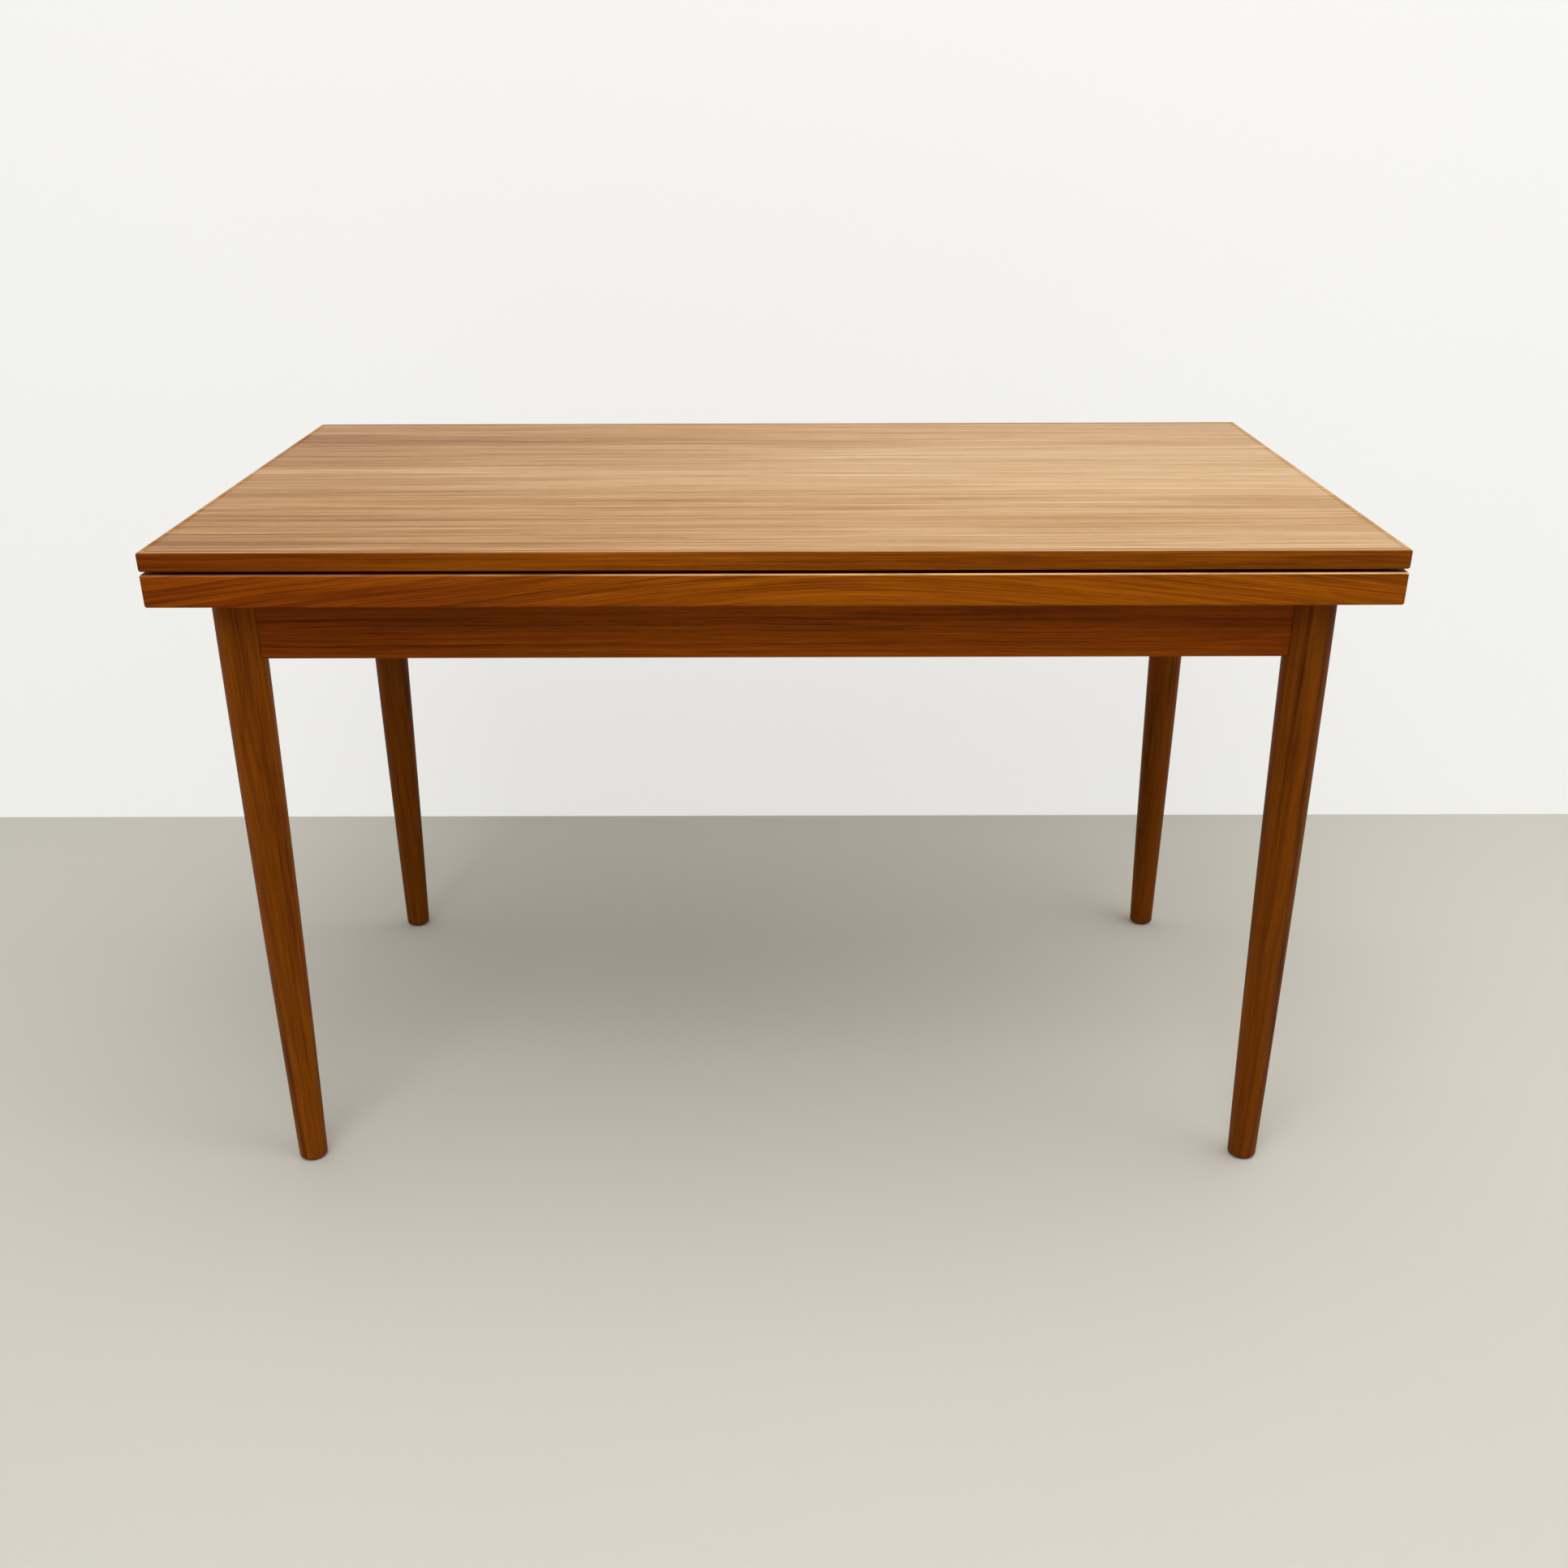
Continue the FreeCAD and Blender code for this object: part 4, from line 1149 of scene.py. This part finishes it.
@dataclass
class DrawLeaf:
    """One leaf: veneered panel, lippings, lopers and stop pegs."""

    shop: Workshop
    side: str
    peg_radius: float = 4 * MM
    peg_bevel: float = 0.9 * MM

    def stop_pegs(self) -> Surface:
        """Two turned pegs with bevelled ends, closed on their axes.

        Returns:
            Both pegs in one surface.
        """
        low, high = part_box(f"{self.side}_leaf_stop_pegs")
        tall = high.z - low.z
        bevelled = self.peg_radius - self.peg_bevel
        radius = np.array([0, bevelled, self.peg_radius, self.peg_radius, bevelled, 0])
        height = np.array([0, 0, self.peg_bevel, tall - self.peg_bevel, tall, tall])
        middle = (low.x + high.x) / 2
        spots = [(middle, low.y + self.peg_radius), (middle, high.y - self.peg_radius)]
        return Surface.together([turned_surface(radius, height, Vector((x, y, low.z)), Vector((0, 0, 1)))
                                 for x, y in spots])

    def build(self) -> None:
        """Make the stop pegs and dress the rest of the leaf."""
        leaf = f"{self.side}_leaf"
        self.stop_pegs().piece(f"{leaf}_turned_pegs", leaf, "inner_beech", self.shop.material(UPRIGHT_BEECH),
                               f"{leaf}_stop_pegs")
        self.shop.dress(END_RAIL, f"{leaf}_end_lipping")
        self.shop.dress(LEAF_VENEER, f"{leaf}_panel")
        self.shop.dress(LEAF_EDGE, f"{leaf}_front_lipping", f"{leaf}_back_lipping")
        self.shop.dress(LEAF_CROSS_EDGE, f"{leaf}_inner_lipping")
        self.shop.dress(BEECH, f"{leaf}_front_loper", f"{leaf}_back_loper")


def at_corners(x: float, y: float) -> list[Spot]:
    """A place near the back right corner and its likes near the other three."""
    return [(side_x * x, side_y * y) for side_x, side_y in CORNERS]


@dataclass(frozen=True)
class ScrewSet:
    """Screws of one piece: the height of their seats, and the length of shank past it.

    The way is 1 where the shanks point up, -1 where they point down.
    """

    name: str
    body: str
    node: str
    seat: float
    length: float
    way: int = 1


@dataclass
class Fastenings:
    """Screws with crossed recesses, threaded hanger bolts, and chamfered nuts and washers.

    The bolts stand level on each corner's diagonal, and their nuts and washers lie past the
    corner blocks. Distances along them run from the leg's axis.
    """

    shop: Workshop
    bolt_level: float = 654 * MM
    bolt_start: float = 6 * MM
    bolt_showing: float = 3 * MM
    bolt_radius: float = 4 * MM
    thread_pitch: float = 1.25 * MM
    thread_depth: float = 0.6 * MM
    thread_rows: int = 8
    bolt_around: int = 24
    bolt_taper: float = 1 * MM
    bolt_tip_inset: float = 0.8 * MM
    block_far: float = 57 * MM
    block_thickness: float = 30 * MM
    washer_thickness: float = 1.6 * MM
    washer_radius: float = 12 * MM
    washer_bevel: float = 0.3 * MM
    washer_gap: float = 0.05 * MM
    nut_height: float = 6.5 * MM
    nut_radius: float = 7.5 * MM
    nut_gap: float = 0.03 * MM
    nut_chamfer: float = 0.8 * MM
    chamfer_start_share: float = 0.96
    chamfer_slope: float = 1.7
    chamfer_rows: int = 7
    nut_around: int = 96
    shank_radius: float = 2.25 * MM
    head_radius: float = 4.5 * MM
    head_height: float = 3 * MM
    dome_rise: float = 0.9 * MM
    recess_reach: float = 2.6 * MM
    recess_half: float = 0.55 * MM
    recess_depth: float = 1.5 * MM
    recess_wall: float = 0.3 * MM
    recess_end: float = 0.4 * MM
    around: int = 48
    head_rings: int = 22
    ledge: ScrewSet = ScrewSet("crossed_ledge_screws", "frame", "ledge_screws", 645 * MM, 50 * MM)
    ledge_shift: float = 14 * MM
    bearer: ScrewSet = ScrewSet("crossed_bearer_screws", "frame", "bearer_screws", 714.4 * MM, 26 * MM, -1)
    bearer_spot: Spot = (50 * MM, 310 * MM)
    bearer_pitch: float = 60 * MM
    left: ScrewSet = ScrewSet("crossed_left_screws", "left_leaf", "left_leaf_loper_screws",
                              680.7 * MM, 30 * MM)
    left_place: float = 150 * MM
    right: ScrewSet = ScrewSet("crossed_right_screws", "right_leaf", "right_leaf_loper_screws",
                               680.7 * MM, 30 * MM)
    right_place: float = 190 * MM
    loper_start: float = 535 * MM
    loper_pitch: float = 189.75 * MM
    stop: ScrewSet = ScrewSet("crossed_stop_screws", "top", "top_stop_screws", 672.1 * MM, 22 * MM)
    stop_spot: Spot = (45 * MM, 100 * MM)

    def screw(self, spot: Spot, screws: ScrewSet) -> Surface:
        """One screw, its head on one side of the seat and its shank going the set's way from it.

        Over the head the height falls with the squared radius, like a shallow dome, and inside
        the recess's reach it drops by the recess's depth where either coordinate across the
        head is smaller than the recess's half width.

        Args:
            spot: Place along the table and across it.
            screws: The set that it belongs to.

        Returns:
            The closed surface.
        """
        angle = circle(self.around)
        flat = np.linspace(0, self.head_radius, self.head_rings)[:, None]
        across, beside = np.abs(flat * np.cos(angle)), np.abs(flat * np.sin(angle))
        arm = np.clip((self.recess_half - np.minimum(across, beside)) / self.recess_wall + 0.5, 0, 1)
        inside = np.clip((self.recess_reach - flat) / self.recess_end, 0, 1)
        dome = self.dome_rise * (flat / self.head_radius) ** 2
        head = -self.head_height + dome + self.recess_depth * arm * inside
        below = np.array([self.head_radius, self.shank_radius, self.shank_radius, 0])[:, None]
        levels = np.array([0, 0, screws.length - self.shank_radius, screws.length])[:, None]
        radius = np.concatenate([np.broadcast_to(flat, head.shape), np.repeat(below, self.around, 1)])
        height = np.concatenate([head, np.repeat(levels, self.around, 1)])
        return turned_surface(radius, height, Vector((*spot, screws.seat)), Vector((0, 0, screws.way)))

    def bolts(self) -> Surface:
        """Threaded bolts with tapered tips.

        The phase is the fraction of the height over the pitch, less the angle over a full turn.
        The radius falls short of the bolt's by the thread's depth times the size of (twice the
        phase less 1), and near the tip by the tip's inset too.

        Returns:
            The four bolts in one surface.
        """
        length = (self.block_far + self.washer_thickness + self.nut_height + self.bolt_showing
                  - self.bolt_start)
        height = np.linspace(0, length, int(length / self.thread_pitch * self.thread_rows))[:, None]
        angle = circle(self.bolt_around)
        phase = (height / self.thread_pitch - angle / (2 * np.pi)) % 1
        taper = np.clip((length - height) / self.bolt_taper, 0, 1)
        radius = (self.bolt_radius - self.thread_depth * np.abs(2 * phase - 1)
                  - self.bolt_tip_inset * (1 - taper))
        return self._at_corners(np.pad(radius, ((1, 1), (0, 0))), closed(height), self.bolt_start, False)

    def nuts(self) -> Surface:
        """Six-sided nuts with chamfered ends and a plain bore.

        The radius is the smaller of two: the hexagon's, which is half its width over the cosine
        of the angle from the nearest flat's middle, and the chamfers' cone, which grows with the
        distance from the nearer end.

        Returns:
            The four nuts in one surface.
        """
        side = math.pi / 3
        angle = circle(self.nut_around)
        flat = self.nut_radius * math.cos(side / 2)
        hexagon = flat / np.cos((angle + side / 2) % side - side / 2)
        chamfer = np.linspace(0, self.nut_chamfer, self.chamfer_rows)
        height = np.concatenate([chamfer, self.nut_height - chamfer[::-1]])
        from_end = np.minimum(height, self.nut_height - height)[:, None]
        outer = np.minimum(hexagon[None, :], flat * self.chamfer_start_share + from_end * self.chamfer_slope)
        bore = np.full((1, self.nut_around), self.bolt_radius + self.nut_gap)
        radius = np.concatenate([bore, outer, bore])
        return self._at_corners(radius, closed(height), self.block_far + self.washer_thickness, True)

    def washers(self) -> Surface:
        """Flat washers with bevelled rims.

        Returns:
            The four washers in one surface.
        """
        bevel, bore, rim = self.washer_bevel, self.bolt_radius + self.washer_gap, self.washer_radius
        thick = self.washer_thickness
        radius = np.array([bore, rim - bevel, rim, rim, rim - bevel, bore])[:, None]
        height = np.array([0, 0, bevel, thick - bevel, thick, thick])
        return self._at_corners(np.repeat(radius, self.around, 1), height, self.block_far, True)

    def _at_corners(self, radius: np.ndarray, height: np.ndarray, start: float, ring: bool) -> Surface:
        """Set a turned form on each corner's diagonal.

        Args:
            radius: Rows by angles.
            height: Rows by angles, or one height per row.
            start: Distance from the leg's axis.
            ring: Whether the form has a bore.

        Returns:
            The four forms in one surface.
        """
        forms = []
        x, y = LEG_HEAD
        for side_x, side_y in CORNERS:
            inward = Vector((-side_x, -side_y, 0)).normalized()
            origin = Vector((side_x * x, side_y * y, self.bolt_level)) + inward * start
            forms.append(turned_surface(radius, height, origin, inward, ring))
        return Surface.together(forms)

    def screw_spots(self) -> list[tuple[ScrewSet, list[Spot]]]:
        """Lay out the screws.

        The ledge screws go up beside the middle of each corner block, the bearer screws down into
        the ledges and the centre rail, the loper screws up through the lopers into the panels, and
        the stop screws up through their washers into the guide pegs.

        Returns:
            Each set of screws with its places.
        """
        leg_x, leg_y = LEG_HEAD
        middle = self.block_far - self.block_thickness / 2
        near = (middle - self.ledge_shift) / math.sqrt(2)
        far = (middle + self.ledge_shift) / math.sqrt(2)
        bearer = at_corners(*self.bearer_spot)
        bearer += [(0.0, step * self.bearer_pitch) for step in (-1, 0, 1)]
        along = [self.loper_start - step * self.loper_pitch for step in range(3)]
        left, right = ([(way * x, side_y * y) for side_y in (-1, 1) for x in along]
                       for way, y in ((-1, self.left_place), (1, self.right_place)))
        x, y = self.stop_spot
        return [(self.ledge, at_corners(leg_x - far, leg_y - near)), (self.bearer, bearer),
                (self.left, left), (self.right, right), (self.stop, [(-x, -y), (x, y)])]

    def build(self) -> None:
        """Make all fastenings in place of their CAD nodes."""
        groups = [(screws.name, screws.body, screws.node,
                   Surface.together([self.screw(spot, screws) for spot in spots]))
                  for screws, spots in self.screw_spots()]
        groups += [("threaded_bolts", "frame", "hanger_bolts", self.bolts()),
                   ("chamfered_nuts", "frame", "hanger_bolt_nuts", self.nuts()),
                   ("bevelled_washers", "frame", "hanger_bolt_washers", self.washers())]
        for name, body, node, surface in groups:
            surface.piece(name, body, "zinc_steel", self.shop.material(STEEL), node)


@dataclass(frozen=True)
class Lamp:
    """A square soft lamp: where it hangs, what it faces, its side in metres and its power."""

    name: str
    place: Point
    target: Point
    size: float
    power: float

    def hang(self) -> None:
        """Put the lamp into the scene."""
        data = bpy.data.lights.new(self.name, "AREA")
        data.shape = "SQUARE"
        data.size = self.size
        data.energy = self.power
        made = new_object(self.name, data)
        made.location = self.place
        made.rotation_mode = "QUATERNION"
        aim = Vector(self.target) - Vector(self.place)
        made.rotation_quaternion = aim.to_track_quat("-Z", "Y")
        LOG.info("lamp %s of %.0f W", self.name, self.power)


@dataclass
class Studio:
    """Plain floor and backdrop, soft lamps and the camera.

    The lens, the frame and the principal point's row are in pixels of the photograph.
    """

    lens_px: float = 2012.1
    frame_px: float = 1932.0
    centre_row_px: float = 1130.0
    sensor: float = 36.0
    eye: Point = (0.01397, -1.9464, 1.1305)
    tilt: float = math.radians(26.441)
    yaw: float = math.radians(-0.172)
    roll: float = math.radians(-0.188)
    wall_place: float = 0.732
    reach: float = 7.0
    wall_height: float = 5.0
    floor: Plain = Plain("floor_paint", linear(208, 205, 196))
    backdrop: Plain = Plain("backdrop_paint", linear(244, 244, 241), glow=0.6)
    lamps: tuple[Lamp, ...] = (Lamp("ceiling_lamp", (1.1, 0.0, 3.4), (0.1, 0.0, 0.5), 4.0, 66),
                               Lamp("right_lamp", (3.4, -1.0, 3.0), (0.4, -0.2, 0.4), 2.2, 8),
                               Lamp("front_lamp", (-0.5, -2.2, 3.1), (0.0, 0.0, 0.4), 1.8, 38))
    sky: tuple[float, float, float, float] = (1.0, 1.0, 0.99, 1.0)
    sky_strength: float = 0.56

    def plane(self, name: str, corners: list[Point], finish: Plain) -> None:
        """Make one flat stage piece, seen from the side where its corners turn left.

        Args:
            name: The piece's name.
            corners: Its corners in order.
            finish: Its finish.
        """
        mesh = bpy.data.meshes.new(name)
        mesh.from_pydata(corners, [], [tuple(range(len(corners)))])
        mesh.materials.append(finish.material())
        made = new_object(name, mesh)
        LOG.info("stage piece %s", name)

    def camera(self) -> None:
        """Set the camera of the photograph, with its lens shifted by the principal point's row."""
        data = bpy.data.cameras.new("camera")
        data.sensor_width = self.sensor
        data.lens = self.lens_px / self.frame_px * self.sensor
        data.shift_y = (self.centre_row_px - self.frame_px / 2) / self.frame_px
        forward = Vector((math.sin(self.yaw) * math.cos(self.tilt),
                          math.cos(self.yaw) * math.cos(self.tilt), -math.sin(self.tilt)))
        right = Vector((math.cos(self.yaw), -math.sin(self.yaw), 0.0))
        up = right.cross(forward)
        right_rolled = right * math.cos(self.roll) + up * math.sin(self.roll)
        up_rolled = up * math.cos(self.roll) - right * math.sin(self.roll)
        made = new_object("camera", data)
        turn = Matrix((right_rolled, up_rolled, -forward)).transposed()
        made.matrix_world = Matrix.Translation(self.eye) @ turn.to_4x4()
        bpy.context.scene.camera = made

    def build(self) -> None:
        """Make the stage, the lamps, the world and the camera."""
        far, wall, high = self.reach, self.wall_place, self.wall_height
        self.plane("floor", [(-far, -far, 0), (far, -far, 0), (far, far, 0), (-far, far, 0)], self.floor)
        self.plane("backdrop", [(-far, wall, 0), (far, wall, 0), (far, wall, high), (-far, wall, high)],
                   self.backdrop)
        for lamp in self.lamps:
            lamp.hang()
        world = bpy.data.worlds.new("studio_world")
        world.use_nodes = True
        background = world.node_tree.nodes["Background"]
        background.inputs["Color"].default_value = self.sky
        background.inputs["Strength"].default_value = self.sky_strength
        bpy.context.scene.world = world
        self.camera()
        bpy.context.scene.view_settings.view_transform = "Standard"


def shaded_leg(place: str, shift: float, share: float) -> TurnedTeak:
    """Finish of one leg, from its own stretch of the wood, its tones darkened by a share as painted shade.

    Args:
        place: The leg's place, such as front_left.
        shift: Metres that the pattern is moved along the grain.
        share: Share of the wood's brightness that is kept; the darkening is painted shade.

    Returns:
        The finish.
    """
    tones = {tone: scaled(getattr(LEG, tone), share) for tone in ("light", "middle", "dark")}
    return replace(LEG, name=f"leg_teak_{place}", shift=shift, **tones)


RAIL_TONES = (linear(170, 93, 6), linear(137, 67, 2), linear(84, 33, 1))
EDGE_TONES = (linear(159, 88, 6), linear(129, 65, 2), linear(79, 34, 1))
LEG_TONES = (linear(153, 84, 5), linear(125, 63, 2), linear(76, 31, 1))
APRON_TONES = (linear(150, 74, 4), linear(119, 54, 2), linear(72, 26, 1))
BEECH_TONES = (linear(222, 188, 146), linear(206, 166, 120), linear(176, 132, 86))
ZINC = linear(176, 178, 176)
WOOL = linear(48, 42, 38)
SOOT = linear(58, 50, 44)

# Painted sheen in both veneers' pale and warm tones, and painted shade towards the top's left end.
VENEER = TeakVeneer()
LEAF_VENEER = TeakVeneer("leaf_veneer", pale=linear(210, 170, 122), warm=linear(170, 122, 64),
                         line=linear(118, 74, 32), shift=4.3)
# Painted shade with a redder tone towards the left end of the band and the rail, and at both ends of the
# aprons.
BAND = LippingTeak("top_lipping", Axis.ALONG, *EDGE_TONES, ring_share=0.20, waver=0.016, end_shade_and_red=1.0,
                   end_shade_tint=(0.63, 0.47, 0.45), face=VENEER)
# Painted highlight on the up-facing arrises of the rails and the leaf end lippings.
RAIL = SolidTeak("rail_teak", Axis.ALONG, *RAIL_TONES, arch_middle=0.10, arch_rise=0.13,
                 ring_share=0.30, ring_pitch=0.0065, arris_highlight=0.75, gap_shade=0.7, end_shade_and_red=0.8)
END_RAIL = SolidTeak("leaf_end_teak", Axis.ACROSS, *RAIL_TONES, arch_middle=0.05, arch_rise=0.20,
                     ring_share=0.50, shift=2.3, arris_highlight=0.6)
APRON = SolidTeak("apron_teak", Axis.ALONG, *APRON_TONES, ring_pitch=0.007, ring_share=0.34,
                  streak_share=0.52, waver=0.016, end_shade_and_red=0.50, joint=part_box("front_apron")[1].x)
END_APRON = SolidTeak("end_apron_teak", Axis.ACROSS, *APRON_TONES, ring_pitch=0.007, ring_share=0.40,
                      streak_share=0.65, waver=0.016, shift=1.9)
LEG = TurnedTeak("leg_teak", Axis.UP, *LEG_TONES, ring_pitch=0.0090, ring_share=0.20, streak_share=0.36,
                 drift_share=0.6, flame_share=0.44)
# Painted shade: the back legs and the front right leg are darker copies of one finish, for the shade they
# stand in.
LEGS = {f"leg_{place}": shaded_leg(place, shift, share)
        for place, shift, share in (("front_left", 0.0, 0.98), ("front_right", 3.1, 0.76),
                                    ("back_left", 6.3, 0.66), ("back_right", 9.2, 0.68))}
LEAF_EDGE = SolidTeak("leaf_edge", Axis.ALONG, *RAIL_TONES, ring_share=0.25, shift=8.2)
LEAF_CROSS_EDGE = SolidTeak("leaf_cross_edge", Axis.ACROSS, *RAIL_TONES, ring_share=0.25, shift=6.4)
BEECH = SolidTeak("inner_beech", Axis.ALONG, *BEECH_TONES, ring_pitch=0.008, ring_share=0.20,
                  streak_share=0.30, drift_share=0.25, rough=0.58)
CROSS_BEECH = replace(BEECH, name="inner_beech_cross", grain=Axis.ACROSS, shift=1.1)
UPRIGHT_BEECH = replace(BEECH, name="turned_beech", grain=Axis.UP, ring_pitch=0.004)
STEEL = Mottled("zinc_steel", scaled(ZINC, 0.8), ZINC, scale=900.0, detail=3.0, rough=0.30,
                rough_swing=0.16, depth=0.03 * MM, metallic=1.0)
FELT = Mottled("felt", scaled(WOOL, 0.6), scaled(WOOL, 1.5), scale=1400.0, detail=5.0, noise_rough=0.7,
               rough=0.95, depth=0.4 * MM, sheen=0.25)
NYLON = Mottled("glide_nylon", SOOT, scaled(SOOT, 2.2), scale=260.0, detail=4.0, noise_rough=0.65,
                shows=(0.45, 0.75), share=0.5, rough=0.48, rough_swing=0.25, depth=0.08 * MM)

Finish = Union[TeakVeneer, SolidTeak, Mottled]


def main() -> None:
    """Build the stage and each sub-assembly."""
    Studio().build()
    shop = Workshop()
    assemblies = (TurnedLegs(shop), ApronFrame(shop), RailLayer(shop), DrawLeaf(shop, "left"),
                  DrawLeaf(shop, "right"), LooseTop(shop), Fastenings(shop))
    for assembly in assemblies:
        assembly.build()
        LOG.info("%s built", type(assembly).__name__)


if __name__ == "__main__":
    main()
